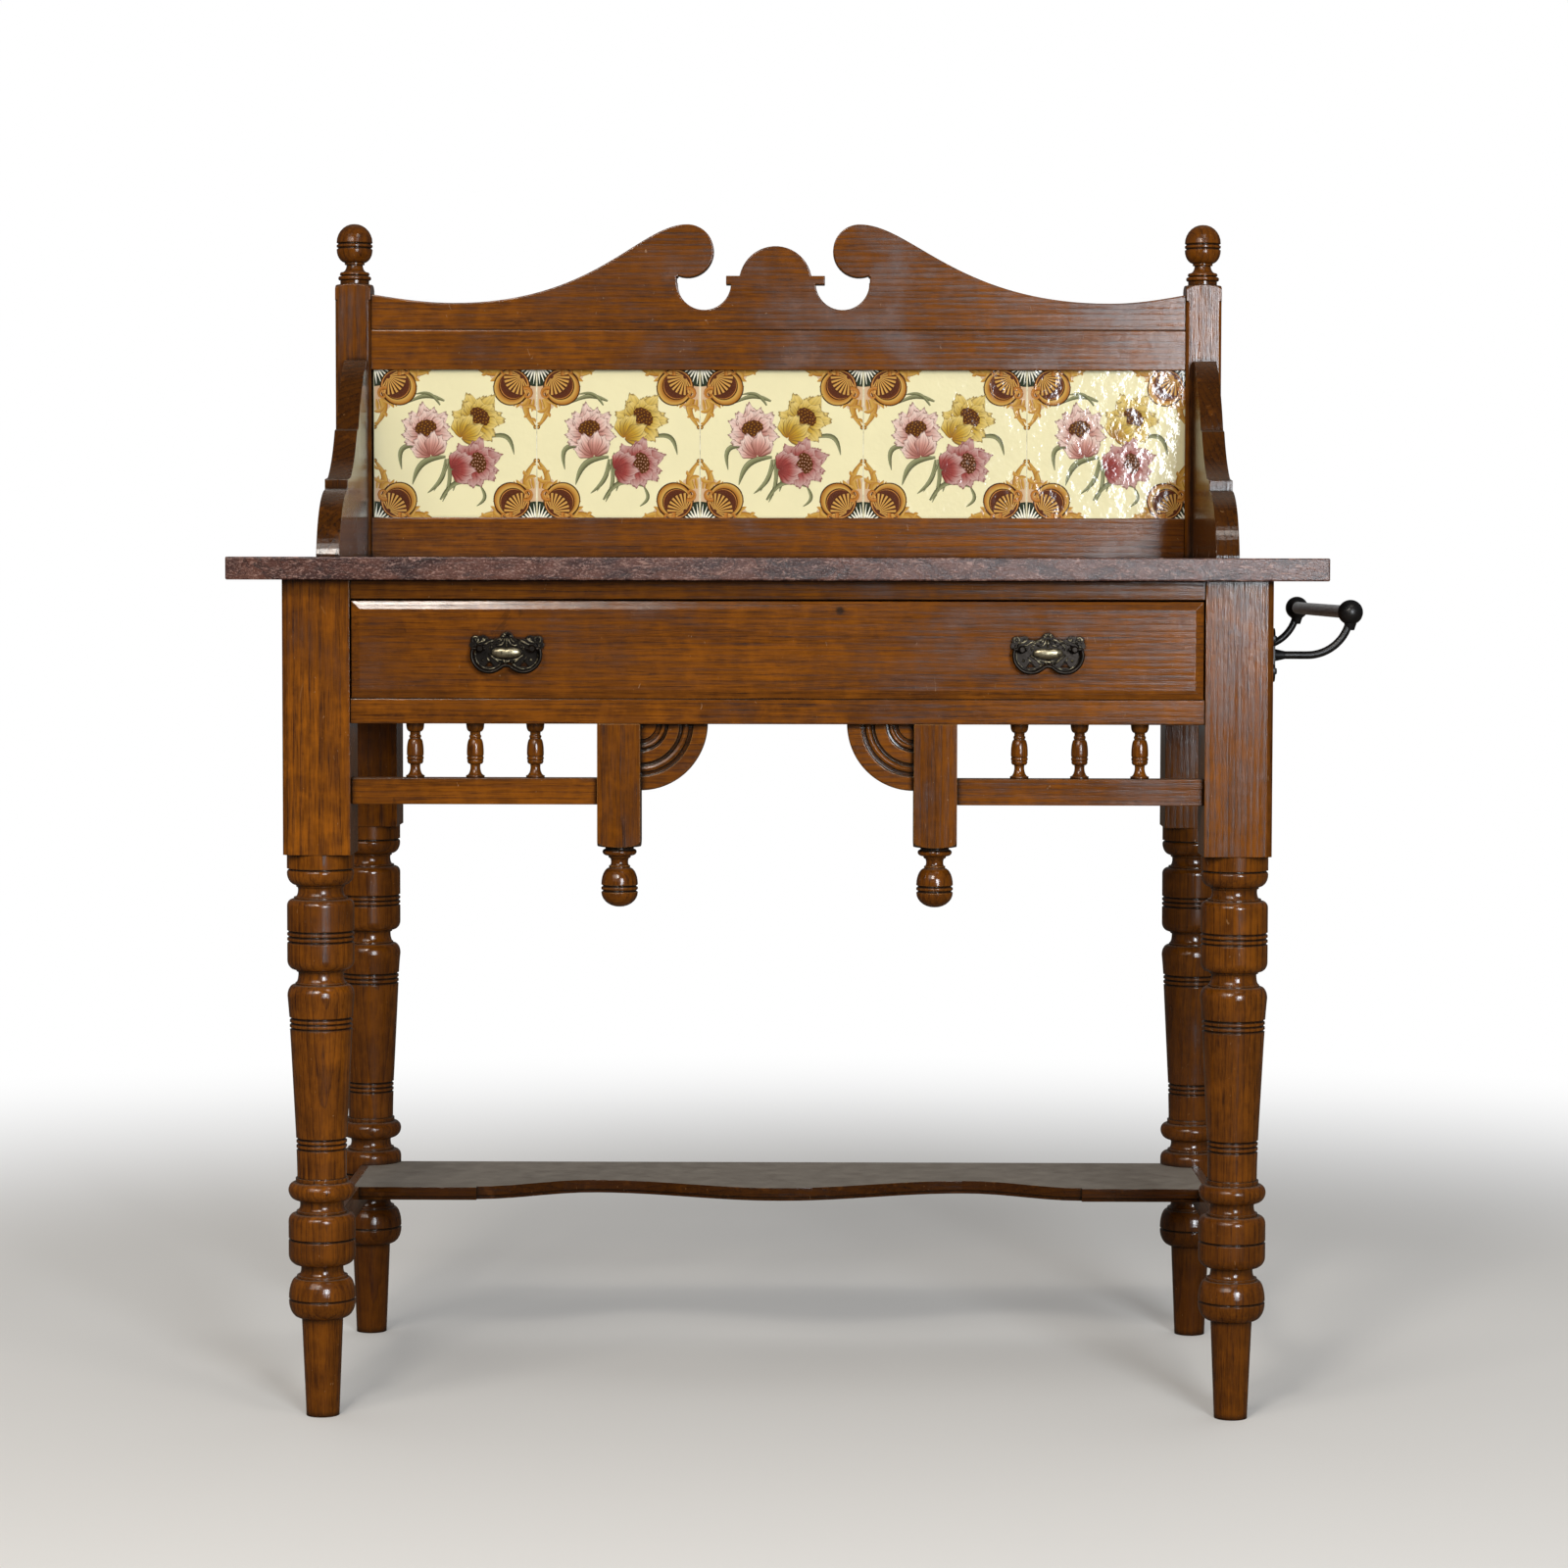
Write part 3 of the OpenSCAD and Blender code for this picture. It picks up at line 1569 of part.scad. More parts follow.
// An arc of the bail's rod about x, z in its own upright plane
module bail_arc(x, z, r, from, to) {
    translate([x, 0, z])
        rotate([90, 0, 0])
            rotate([0, 0, from + arc_trim])
                rotate_extrude(angle = to - from - 2 * arc_trim, $fn = 2 * ROUND)
                    translate([r, 0])
                        circle(r = bail_r, $fn = 24);
}

module bail(side) {
    meet_x = crest_circle_r * cos(meet_angle);
    meet_z = crest_circle_z + crest_circle_r * sin(meet_angle);
    color(IRON)
        union() {
            translate([side * pull_x, pivot_y, pull_z]) {
                bail_arc(lobe_x, lobe_z, bail_lobe_r, meet_angle - 180, end_angle);
                bail_arc(
                    -lobe_x, lobe_z, bail_lobe_r, 180 - end_angle, 360 - meet_angle
                );
                bail_arc(0, crest_circle_z, crest_circle_r, meet_angle, 180 - meet_angle);
                for (s = [-1, 1]) {
                    translate([s * outer_x, 0, 0])
                        sphere(r = knuckle_r, $fn = ROUND);
                    translate([s * meet_x, 0, meet_z])
                        sphere(r = knuckle_r, $fn = ROUND);
                }
            }
            for (s = [-1, 1])
                bail_end(side, s, 0);
        }
}

// ---------- the whole ----------

placed() marble_top();
placed() leg(-1, leg_front_y, true);  // front_left_leg
placed() leg(1, leg_front_y, true);  // front_right_leg
placed() leg(-1, leg_back_y, false);  // back_left_leg
placed() leg(1, leg_back_y, false);  // back_right_leg
placed() front_top_rail();
placed() front_lower_rail();
placed() side_apron(-1);  // left_apron
placed() side_apron(1);  // right_apron
placed() back_apron();
placed() drawer_runners();
placed() drawer_guides();
placed() drawer_kickers();
placed() drawer_stops();
placed() gallery_rail(-1);  // left_gallery_rail
placed() gallery_rail(1);  // right_gallery_rail
placed() pendant(-1);  // left_pendant
placed() pendant(1);  // right_pendant
placed() bracket(-1);  // left_bracket
placed() bracket(1);  // right_bracket
placed() under_shelf();
placed() stretcher(-1);  // left_stretcher
placed() stretcher(1);  // right_stretcher
placed() post(-1);  // left_post
placed() post(1);  // right_post
placed() crest_rail();
placed() splash_top_rail();
placed() splash_bottom_rail();
placed() tile_board();
placed() wing(-1);  // left_wing
placed() wing(1);  // right_wing
placed() batten(-1);  // left_batten
placed() batten(1);  // right_batten
placed() batten_screws();
placed() towel_arm(leg_front_y, 1);  // front_towel_arm
placed() towel_arm(leg_back_y, -1);  // back_towel_arm
placed() towel_rod();
placed() towel_screws();
placed() drawer_front();
placed() drawer_side(-1);  // drawer_left_side
placed() drawer_side(1);  // drawer_right_side
placed() drawer_back();
placed() drawer_bottom();
placed() pull_plate(-1);  // left_pull_plate
placed() pull_plate(1);  // right_pull_plate
placed() bail(-1);  // left_bail
placed() bail(1);  // right_bail
for (i = [0 : 5])
    placed() spindle(i);
for (i = [0 : tile_count - 1])
    placed() tile(i);
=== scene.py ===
import math

import bpy
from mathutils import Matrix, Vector


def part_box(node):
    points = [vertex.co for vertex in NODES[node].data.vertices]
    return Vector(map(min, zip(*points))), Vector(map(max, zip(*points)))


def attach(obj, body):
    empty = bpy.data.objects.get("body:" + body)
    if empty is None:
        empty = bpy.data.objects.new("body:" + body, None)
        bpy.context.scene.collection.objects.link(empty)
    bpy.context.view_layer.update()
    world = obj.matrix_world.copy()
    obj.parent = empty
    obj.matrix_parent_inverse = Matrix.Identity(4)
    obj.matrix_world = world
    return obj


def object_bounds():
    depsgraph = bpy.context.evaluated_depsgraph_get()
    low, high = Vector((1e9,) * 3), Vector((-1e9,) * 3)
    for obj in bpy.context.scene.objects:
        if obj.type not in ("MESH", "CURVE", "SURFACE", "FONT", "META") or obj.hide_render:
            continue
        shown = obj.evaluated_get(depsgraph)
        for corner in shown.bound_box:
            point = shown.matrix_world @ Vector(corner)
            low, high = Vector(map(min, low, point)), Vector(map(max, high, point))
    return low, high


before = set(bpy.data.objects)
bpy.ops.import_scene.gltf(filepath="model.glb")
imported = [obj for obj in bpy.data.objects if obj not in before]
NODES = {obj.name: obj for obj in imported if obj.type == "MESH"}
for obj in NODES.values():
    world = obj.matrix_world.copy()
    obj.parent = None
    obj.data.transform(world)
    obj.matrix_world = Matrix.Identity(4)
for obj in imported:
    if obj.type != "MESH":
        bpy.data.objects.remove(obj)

bl_info = {
    "name": "Washstand finish",
    "version": (1, 0, 0),
    "blender": (4, 5, 0),
    "location": "View3D > Sidebar > Washstand",
    "description": "Finishes a marble-topped washstand and sets its studio",
    "category": "Object",
}

CAD_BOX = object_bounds()
MM = 0.001


# ---------- sizes and colours ----------


def colour_setting(name, description, default):
    """A colour in the panel."""
    return bpy.props.FloatVectorProperty(
        name=name, description=description, default=default, subtype="COLOR", size=3, min=0, max=1
    )


def number_setting(name, description, default, low, high, **kind):
    """A number in the panel between two limits; kind holds its subtype or unit."""
    return bpy.props.FloatProperty(
        name=name, description=description, default=default, min=low, max=high, **kind
    )


class WoodSettings(bpy.types.PropertyGroup):
    """Colours and gloss of the stained wood."""

    light: colour_setting(
        "Light grain", "Colour of the pale grain under the stain", (0.218, 0.064, 0.0040)
    )
    dark: colour_setting(
        "Dark grain", "Colour of the dark grain under the stain", (0.026, 0.0068, 0.0012)
    )
    # Grime in pores, knots and bruises; in corners, joints and hollows the same colour is painted shade
    grime_and_shade: colour_setting("Grime", "Colour of old polish in the corners", (0.010, 0.005, 0.0025))
    # Rubbed arris; made paler, the same colour is the painted highlight on moulded ridges
    rubbed: colour_setting(
        "Rubbed arris", "Colour where an arris is rubbed through", (0.34, 0.17, 0.055)
    )
    # Dust on faces that look up, which also serves as their painted sheen
    dust_and_sheen: colour_setting("Dust", "Dust on faces that look up", (0.27, 0.235, 0.19))
    bare: colour_setting("Bare pine", "Colour of the unstained wood inside", (0.42, 0.24, 0.10))
    ring_gap: number_setting(
        "Ring gap", "Distance between growth rings", 0.0052, 0.002, 0.012, subtype="DISTANCE"
    )
    gloss: number_setting(
        "Gloss", "Roughness of the best polished wood", 0.14, 0.05, 0.8, subtype="FACTOR"
    )
    edge_round: number_setting(
        "Edge round", "Wear on the arrises of rails and boards", 0.0008, 0.0001, 0.002, subtype="DISTANCE"
    )


class StoneSettings(bpy.types.PropertyGroup):
    """Colours of the marble slab."""

    ground: colour_setting("Ground", "Main colour of the marble", (0.092, 0.033, 0.021))
    cloud: colour_setting("Cloud", "Darker clouds in the marble", (0.032, 0.012, 0.010))
    vein: colour_setting("Vein", "Pale veins and specks in the marble", (0.38, 0.215, 0.165))
    crack: colour_setting("Crack", "Dark healed cracks", (0.018, 0.010, 0.009))
    arris: number_setting(
        "Arris", "Rounding of the slab's edges", 0.0012, 0.0002, 0.004, subtype="DISTANCE"
    )


class TileSettings(bpy.types.PropertyGroup):
    """Colours of the wall tiles."""

    glaze: colour_setting("Glaze", "Colour of the plain glaze", (0.86, 0.78, 0.47))
    grout: colour_setting("Grout", "Colour of the plaster in the joints", (0.80, 0.76, 0.68))
    edge_round: number_setting(
        "Edge round", "Rounding of a tile's edges", 0.0006, 0.0001, 0.002, subtype="DISTANCE"
    )
    wave: number_setting(
        "Wave", "Height of the waves in the glaze", 0.0009, 0, 0.002, subtype="DISTANCE"
    )


class MetalSettings(bpy.types.PropertyGroup):
    """Colours of the ironwork and the drawer pulls."""

    iron: colour_setting("Iron", "Colour of the blackened towel arms", (0.010, 0.009, 0.009))
    rod: colour_setting("Rod", "Colour of the towel rod", (0.84, 0.85, 0.86))
    patina: colour_setting("Patina", "Dark patina in the hollows of the pulls", (0.020, 0.016, 0.013))
    brass: colour_setting("Brass", "Brass where the pulls are rubbed bright", (0.36, 0.31, 0.20))


class StudioSettings(bpy.types.PropertyGroup):
    """Camera, floor and light."""

    camera_place: bpy.props.FloatVectorProperty(
        name="Camera place", description="Where the camera stands",
        subtype="TRANSLATION", unit="LENGTH", size=3, default=(0.0146, -3.5502, 0.7194),
    )
    camera_turn: bpy.props.FloatVectorProperty(
        name="Camera turn", description="How the camera is turned",
        subtype="EULER", size=3,
        default=(math.radians(90 - 3.088), math.radians(-0.1), math.radians(0.451)),
    )
    lens: number_setting(
        "Lens", "Focal length on a 36 mm sensor", 91.95, 20, 300, subtype="DISTANCE_CAMERA"
    )
    floor: colour_setting("Floor", "Colour of the floor round the stand", (0.80, 0.78, 0.75))
    floor_bounce: colour_setting(
        "Floor bounce", "Colour of the floor as the stand's underside sees it", (0.13, 0.11, 0.09)
    )
    key_power: number_setting(
        "Key power", "Power of the soft lamp above the front", 45, 0, 2000, unit="POWER"
    )
    window_power: number_setting(
        "Window power", "Power of the window at the front's right", 150, 0, 2000, unit="POWER"
    )
    ceiling_power: number_setting(
        "Ceiling power", "Power of the small lamp high on the left; the right one takes a share",
        27, 0, 500, unit="POWER",
    )
    front_light: number_setting("Front light", "Soft light from in front of the stand", 0.22, 0, 2)
    backdrop: number_setting("Backdrop light", "Light that the backdrop gives the stand", 0.62, 0, 2)


# ---------- materials ----------


class Value:
    """An output of a material's nodes. Arithmetic on it adds Math nodes."""

    def __init__(self, finish, socket):
        self.finish = finish
        self.socket = socket

    def _math(self, operation, first, second):
        """A Math node on two numbers or values."""
        return self.finish.add("Math", {"operation": operation}, {0: first, 1: second})

    def __add__(self, other):
        return self._math("ADD", self, other)

    def __radd__(self, other):
        return self._math("ADD", other, self)

    def __sub__(self, other):
        return self._math("SUBTRACT", self, other)

    def __rsub__(self, other):
        return self._math("SUBTRACT", other, self)

    def __mul__(self, other):
        return self._math("MULTIPLY", self, other)

    def __rmul__(self, other):
        return self._math("MULTIPLY", other, self)

    def __pow__(self, other):
        return self._math("POWER", self, other)

    def clamped(self):
        """The value held between 0 and 1."""
        return self.finish.add("Clamp", None, {0: self})


class Finish:
    """The nodes of a material or of the world while they are being made."""

    def __init__(self, owner):
        owner.use_nodes = True
        self.owner = owner
        self.tree = owner.node_tree
        self.tree.nodes.clear()

    def add(self, kind, settings=None, sockets=None, output=0):
        """Adds a node: its settings come first, then its sockets' values or links."""
        node = self.tree.nodes.new("ShaderNode" + kind)
        for name, value in (settings or {}).items():
            setattr(node, name, value)
        for name, value in (sockets or {}).items():
            if isinstance(value, Value):
                self.tree.links.new(value.socket, node.inputs[name])
            else:
                node.inputs[name].default_value = value
        return Value(self, node.outputs[output]) if node.outputs else None

    def step(self, value, low, high, start=0.0, end=1.0):
        """start below low, end above high and smooth between."""
        return self.add(
            "MapRange",
            {"interpolation_type": "SMOOTHSTEP"},
            {
                "Value": value, "From Min": low, "From Max": high,
                "To Min": start, "To Max": end,
            },
        )

    def mix(self, factor, first, second, blend="MIX"):
        """Mixes two colours."""
        return self.add(
            "Mix",
            {"data_type": "RGBA", "blend_type": blend},
            {0: factor, 6: opaque(first), 7: opaque(second)},
            output=2,
        )

    def noise(self, place, scale, detail=2.0, roughness=0.5, distortion=0.0):
        """Cloudy noise from 0 to 1."""
        return self.add(
            "TexNoise",
            None,
            {
                "Vector": place, "Scale": scale, "Detail": detail,
                "Roughness": roughness, "Distortion": distortion,
            },
        )

    def moved(self, place, shift):
        """A place shifted by a vector."""
        return self.add("VectorMath", {"operation": "ADD"}, {0: place, 1: shift})

    def scaled(self, place, factors):
        """A place stretched along the three axes."""
        return self.add("VectorMath", {"operation": "MULTIPLY"}, {0: place, 1: factors})

    def axis(self, place, way):
        """A place's X, Y or Z."""
        return self.add("SeparateXYZ", None, {0: place}, output=way)

    def length(self, vector):
        """How long a vector is."""
        return self.add("VectorMath", {"operation": "LENGTH"}, {0: vector}, output="Value")

    def nook(self, reach, low, high):
        """1 in tight corners and 0 on open faces."""
        open_share = self.add("AmbientOcclusion", {"samples": 5}, {"Distance": reach}, output="AO")
        return self.step(open_share, low, high, 1.0, 0.0)

    def arris(self, radius):
        """A normal that rounds the arrises, and how strongly it turns from the face's own."""
        rounded = self.add("Bevel", {"samples": 5}, {"Radius": radius})
        flat = self.add("NewGeometry", output="True Normal")
        along = self.add(
            "VectorMath", {"operation": "DOT_PRODUCT"}, {0: rounded, 1: flat}, output="Value"
        )
        return rounded, 1.0 - along

    def bump(self, height, distance, strength=1.0, normal=None):
        """A normal for a relief that is distance high."""
        sockets = {"Height": height, "Distance": distance, "Strength": strength}
        if normal is not None:
            sockets["Normal"] = normal
        return self.add("Bump", None, sockets)

    def done(self, colour, rough, normal, **plain):
        """Ends a material with a Principled shader; plain holds its uniform values."""
        sockets = {"Base Color": colour, "Roughness": rough, "Normal": normal, **plain}
        return self.ended(self.add("BsdfPrincipled", None, sockets))

    def ended(self, shader, kind="OutputMaterial"):
        """Ends the tree with a shader."""
        self.add(kind, None, {"Surface": shader})
        return self.owner


def opaque(colour):
    """Adds an alpha of 1 to a plain colour."""
    if isinstance(colour, Value) or len(colour) == 4:
        return colour
    return (*colour, 1.0)


def tinted(colour, factor):
    """A colour made lighter or darker."""
    return tuple(min(1.0, c * factor) for c in colour)


def blended(first, second, share):
    """A colour between two colours."""
    return tuple(a + (b - a) * share for a, b in zip(first, second))


def new_finish(name):
    """An empty material to build, and where each point lies along the piece's own axes."""
    finish = Finish(bpy.data.materials.new(name))
    return finish, finish.add("TexCoord", output="Object")


# How the grain is drawn out along a board: fine fibres, and growth rings
ALONG = {"X": (0.045, 1.0, 1.0), "Y": (1.0, 0.045, 1.0), "Z": (1.0, 1.0, 0.045)}
DRAWN = {"X": (0.12, 1.0, 1.0), "Y": (1.0, 0.12, 1.0), "Z": (1.0, 1.0, 0.12)}

# A knot larger than this is drawn out along the grain
LONG_KNOT = 0.01
# Places in metres between which the stained wood grows darker; at the back under the slab the darkening is
# painted shade
BLOCK_END = (0.462, 0.480)
FEET = (0.06, 0.20)
BACK_HALF = (0.05, 0.14)
SLAB_UNDERSIDE = (0.70, 0.71)
# How far back from the front face a scratch reaches, how wide it is and how it bows
FRONT_FACE = (-0.212, -0.208)
SCRATCH_HALF_WIDTH_SQUARED = 0.0000005
SCRATCH_BOW = 12.0


def growth_rings(wood, place, along, settings, distortion):
    """Growth rings round a heart beside the board: pale to dark, then a sharp start."""
    return wood.add(
        "TexWave",
        {"wave_type": "RINGS", "rings_direction": along, "wave_profile": "SAW"},
        {
            "Vector": wood.scaled(place, DRAWN[along]), "Scale": 0.314 / settings.ring_gap,
            "Distortion": distortion, "Detail": 2.0, "Detail Scale": 1.1,
            "Detail Roughness": 0.55,
        },
    )


def scratch_line(wood, place, start, end):
    """A fine pale scratch on the front, between two places given as x and z in metres."""
    x, y, z = (wood.axis(place, way) for way in "XYZ")
    run = math.hypot(end[0] - start[0], end[1] - start[1])
    across, up = (end[0] - start[0]) / run, (end[1] - start[1]) / run
    along = (x - start[0]) * across + (z - start[1]) * up
    bow = along * (along - run) * SCRATCH_BOW
    off = (x - start[0]) * up - (z - start[1]) * across + bow
    thin = wood.step(off * off, 0.0, SCRATCH_HALF_WIDTH_SQUARED, 1.0, 0.0)
    ends = wood.step(along, 0.0, run * 0.3) * wood.step(along, run * 0.7, run, 1.0, 0.0)
    return thin * ends * wood.step(y, *FRONT_FACE, 1.0, 0.0)


class Grain:
    """The patterns that the stained wood is drawn from."""

    def __init__(self, wood, own, along, settings):
        drawn = wood.scaled(own, ALONG[along])
        self.rings = growth_rings(wood, own, along, settings, 2.6)
        self.fibre = wood.noise(drawn, 380.0, 3.0, 0.6)
        self.hair = wood.noise(drawn, 1100.0, 2.0, 0.6)
        self.streak = wood.noise(drawn, 75.0, 3.0, 0.55)
        self.cloud = wood.noise(own, 10.0, 4.0, 0.55)
        self.mottle = wood.noise(own, 62.0, 4.0, 0.6)


def stain(wood, grain, settings, lightness):
    """The stain's colour over the grain, with dark pores."""
    drawn = (grain.rings ** 3.0) * 0.30 + grain.fibre * 0.7 + grain.hair * 1.0
    drawn = drawn + grain.streak * 0.7 + grain.mottle * 1.2
    drawn_in = (drawn * 1.25 - 1.96).clamped()
    colour = wood.mix(drawn_in, tinted(settings.light, lightness * 1.03), tinted(settings.dark, lightness))
    colour = wood.mix(wood.step(grain.cloud, 0.40, 0.70) * 0.5, colour, tinted(settings.dark, 1.8))
    colour = wood.mix(wood.step(grain.mottle, 0.54, 0.72) * 0.3, colour, tinted(settings.light, 1.2))
    pore = wood.step(grain.hair, 0.62, 0.72) * wood.step(grain.fibre, 0.5, 0.66)
    return wood.mix(pore * 0.55, colour, settings.grime_and_shade)


def knotted(wood, colour, place, middle, size, drawn_out, streak, settings):
    """A colour with one dark knot or dent in it."""
    x, y, z = middle
    away = wood.scaled(wood.moved(place, (-x, -y, -z)), drawn_out)
    far = wood.length(away) + (streak - 0.5) * 0.004
    return wood.mix(wood.step(far, size * 0.35, size, 0.85, 0.0), colour, tinted(settings.grime_and_shade, 1.6))


def darkened(wood, colour, place, settings):
    """A colour darkened below the legs' blocks and at their feet, with painted shade at the back under the
    slab.
    """
    height = wood.axis(place, "Z")
    depth = wood.axis(place, "Y")
    shade = wood.step(height, *BLOCK_END, 1.0, 0.0) * 0.16
    shade = shade + wood.step(height, *FEET, 0.26, 0.0)
    # Painted shade at the back, under the slab
    back = wood.step(depth, *BACK_HALF, 0.0, 0.3) * wood.step(height, *SLAB_UNDERSIDE, 1.0, 0.0)
    return wood.mix(shade + back, colour, tinted(settings.dark, 1.5))


def stained_wood(
    name, along, settings, knots=(), dust_and_sheen_share=0.22, lightness=1.0, scratches=(), moulded=False
):
    """Old stained pine under a worn polish, its grain along one axis.

    Its lightness is 1 for the drawer front. Moulded wood has painted shade, black in its
    hollows, and a painted highlight on its ridges.
    """
    wood, place = new_finish(name)
    chance = wood.add("ObjectInfo", output="Random")
    heart = wood.add(
        "CombineXYZ", None, {0: chance * 0.37 + 0.05, 1: chance * 0.21 + 0.035, 2: chance * 0.43 + 0.03}
    )
    own = wood.moved(place, heart)
    grain = Grain(wood, own, along, settings)
    colour = stain(wood, grain, settings, lightness)
    for *middle, size in knots:
        drawn_out = DRAWN[along] if size > LONG_KNOT else (1, 1, 1)
        colour = knotted(wood, colour, place, middle, size, drawn_out, grain.streak, settings)
    colour = darkened(wood, colour, place, settings)
    bruise = wood.step(wood.noise(own, 23.0, 5.0, 0.7, 1.2), 0.66, 0.70)
    colour = wood.mix(bruise * 0.35, colour, settings.grime_and_shade)
    scuff = wood.step(wood.noise(wood.scaled(own, (1.0, 1.0, 0.35)), 140.0, 2.0, 0.5, 3.0), 0.735, 0.76)
    colour = wood.mix(scuff * 0.4, colour, settings.rubbed)
    for start, end in scratches:
        colour = wood.mix(scratch_line(wood, place, start, end) * 0.7, colour, settings.rubbed)
    rounded, turned = wood.arris(settings.edge_round * 1.5)
    worn = wood.step(turned, 0.02, 0.22) * wood.step(grain.mottle + grain.streak, 0.92, 1.25)
    colour = wood.mix(worn * 0.4, colour, settings.rubbed)
    if moulded:
        # Painted highlight: pale lines along the moulded ridges
        ridge_highlight = wood.step(turned, 0.08, 0.30) * wood.step(grain.mottle, 0.30, 0.50)
        colour = wood.mix(ridge_highlight * 0.75, colour, tinted(settings.rubbed, 1.9))
    # Painted shade: corners, joints and hollows darkened near other faces, nearly black in moulded hollows
    nook = wood.nook(0.006, 0.55, 0.98) if moulded else wood.nook(0.007, 0.47, 0.93)
    colour = wood.mix((nook * (0.8 + 0.5 * grain.cloud)).clamped(), colour, settings.grime_and_shade)
    # Dust on faces that look up, pale enough to be a painted sheen there as well
    up = wood.axis(wood.add("NewGeometry", output="Normal"), "Z")
    dust_and_sheen = wood.step(up, 0.75, 0.98) * (0.5 + 0.7 * grain.mottle)
    colour = wood.mix((dust_and_sheen * dust_and_sheen_share).clamped(), colour, settings.dust_and_sheen)
    dull = wood.step(grain.cloud, 0.5, 0.78) * 0.16 - nook * 0.05 + dust_and_sheen * dust_and_sheen_share * 0.8 + scuff * 0.2
    rough = grain.fibre * 0.24 + grain.mottle * 0.12 + grain.rings * 0.08 + dull
    rough = (rough + (settings.gloss - 0.2)).clamped()
    relief = grain.fibre * 0.35 + grain.rings * 0.4 + wood.noise(own, 130.0, 2.0) * 0.3 + grain.hair * 0.3
    return wood.done(colour, rough, wood.bump(relief, 0.00025, 0.8, rounded), IOR=1.47)


def bare_pine(name, along, settings):
    """Unpolished wood inside the carcase, greyed by age, with painted shade in its corners."""
    wood, place = new_finish(name)
    chance = wood.add("ObjectInfo", output="Random")
    own = wood.moved(
        place, wood.add("CombineXYZ", None, {0: chance * 0.3 + 0.05, 1: chance * 0.2, 2: 0.04})
    )
    drawn = wood.scaled(own, ALONG[along])
    rings = growth_rings(wood, own, along, settings, 3.4)
    fibre = wood.noise(drawn, 500.0, 3.0, 0.6)
    cloud = wood.noise(own, 7.0, 3.0)
    colour = wood.mix(
        ((rings ** 2.0) * 0.5 + fibre * 0.6).clamped(), settings.bare, tinted(settings.bare, 0.45)
    )
    colour = wood.mix(wood.step(cloud, 0.4, 0.75) * 0.5, colour, (0.15, 0.095, 0.055))
    # Painted shade in the corners
    colour = wood.mix(wood.nook(0.012, 0.2, 0.8) * 0.7, colour, (0.03, 0.02, 0.012))
    return wood.done(colour, 0.66 + fibre * 0.2, wood.bump(fibre + rings, 0.0002, 0.7))


def marble(settings):
    """Reddish marble with pale specks and dark healed cracks, polished."""
    stone, place = new_finish("polished_marble")
    flat = stone.scaled(place, (1.0, 1.0, 2.4))
    cloud = stone.noise(flat, 24.0, 5.0, 0.62, 0.8)
    colour = stone.mix(stone.step(cloud, 0.36, 0.62), settings.cloud, settings.ground)
    streak = stone.noise(stone.scaled(place, (0.8, 0.9, 2.2)), 120.0, 6.0, 0.72, 1.6)
    colour = stone.mix(stone.step(streak, 0.53, 0.65) * 0.6, colour, settings.vein)
    fine = stone.noise(flat, 380.0, 4.0, 0.7)
    colour = stone.mix(stone.step(fine, 0.54, 0.66) * 0.65, colour, tinted(settings.vein, 1.1))
    sway = stone.noise(flat, 15.0, 6.0, 0.6, 1.6)
    line = stone.step(
        stone.add("Math", {"operation": "ABSOLUTE"}, {0: sway - 0.5}), 0.0, 0.014, 1.0, 0.0
    )
    colour = stone.mix(line * 0.9, colour, settings.crack)
    rounded, turned = stone.arris(settings.arris * 1.3)
    blot = stone.noise(place, 75.0, 3.0, 0.6)
    chip = stone.step(turned, 0.01, 0.12) * stone.step(blot, 0.53, 0.60)
    colour = stone.mix(chip * 0.85, colour, tinted(settings.vein, 1.9))
    rough = 0.10 + fine * 0.14 + streak * 0.12
    relief = streak + fine * 0.5 + cloud
    return stone.done(colour, rough, stone.bump(relief, 0.0004, 0.6, rounded), IOR=1.46)


def glaze(name, settings, printed):
    """Wavy cream glaze, with painted shadow at a plain tile's edges beside the rails and the next tiles;
    on the print the colour comes from the print's own points.
    """
    tile, place = new_finish(name)
    cloud = tile.noise(place, 26.0, 3.0)
    fine = tile.noise(place, 1500.0, 2.0)
    if printed:
        colour = tile.add("VertexColor", {"layer_name": "print"})
        colour = tile.mix(tile.step(fine, 0.55, 0.70) * 0.05, colour, settings.glaze)
    else:
        colour = tile.mix(tile.step(cloud, 0.35, 0.7) * 0.3, settings.glaze, tinted(settings.glaze, 0.9))
        speck = tile.step(tile.noise(place, 420.0, 2.0), 0.78, 0.82)
        colour = tile.mix(speck * 0.5, colour, (0.20, 0.13, 0.06))
        # Painted shadow at the tile's edges, beside the rails and the next tiles
        colour = tile.mix(tile.nook(0.004, 0.3, 0.8) * 0.35, colour, (0.10, 0.06, 0.03))
    swell = tile.noise(place, 60.0, 2.0) + tile.noise(place, 190.0, 2.0) * 0.35
    return tile.done(colour, 0.07 + cloud * 0.05, tile.bump(swell, settings.wave, 0.7), IOR=1.52)


def plaster(settings):
    """White plaster in the tiles' joints, dirty in patches."""
    fill, place = new_finish("joint_plaster")
    patch = fill.noise(place, 90.0, 4.0, 0.7)
    colour = fill.mix(fill.step(patch, 0.36, 0.6) * 0.85, settings.grout, (0.16, 0.11, 0.07))
    return fill.done(colour, 0.7 + patch * 0.2, fill.bump(patch, 0.0002, 0.6))


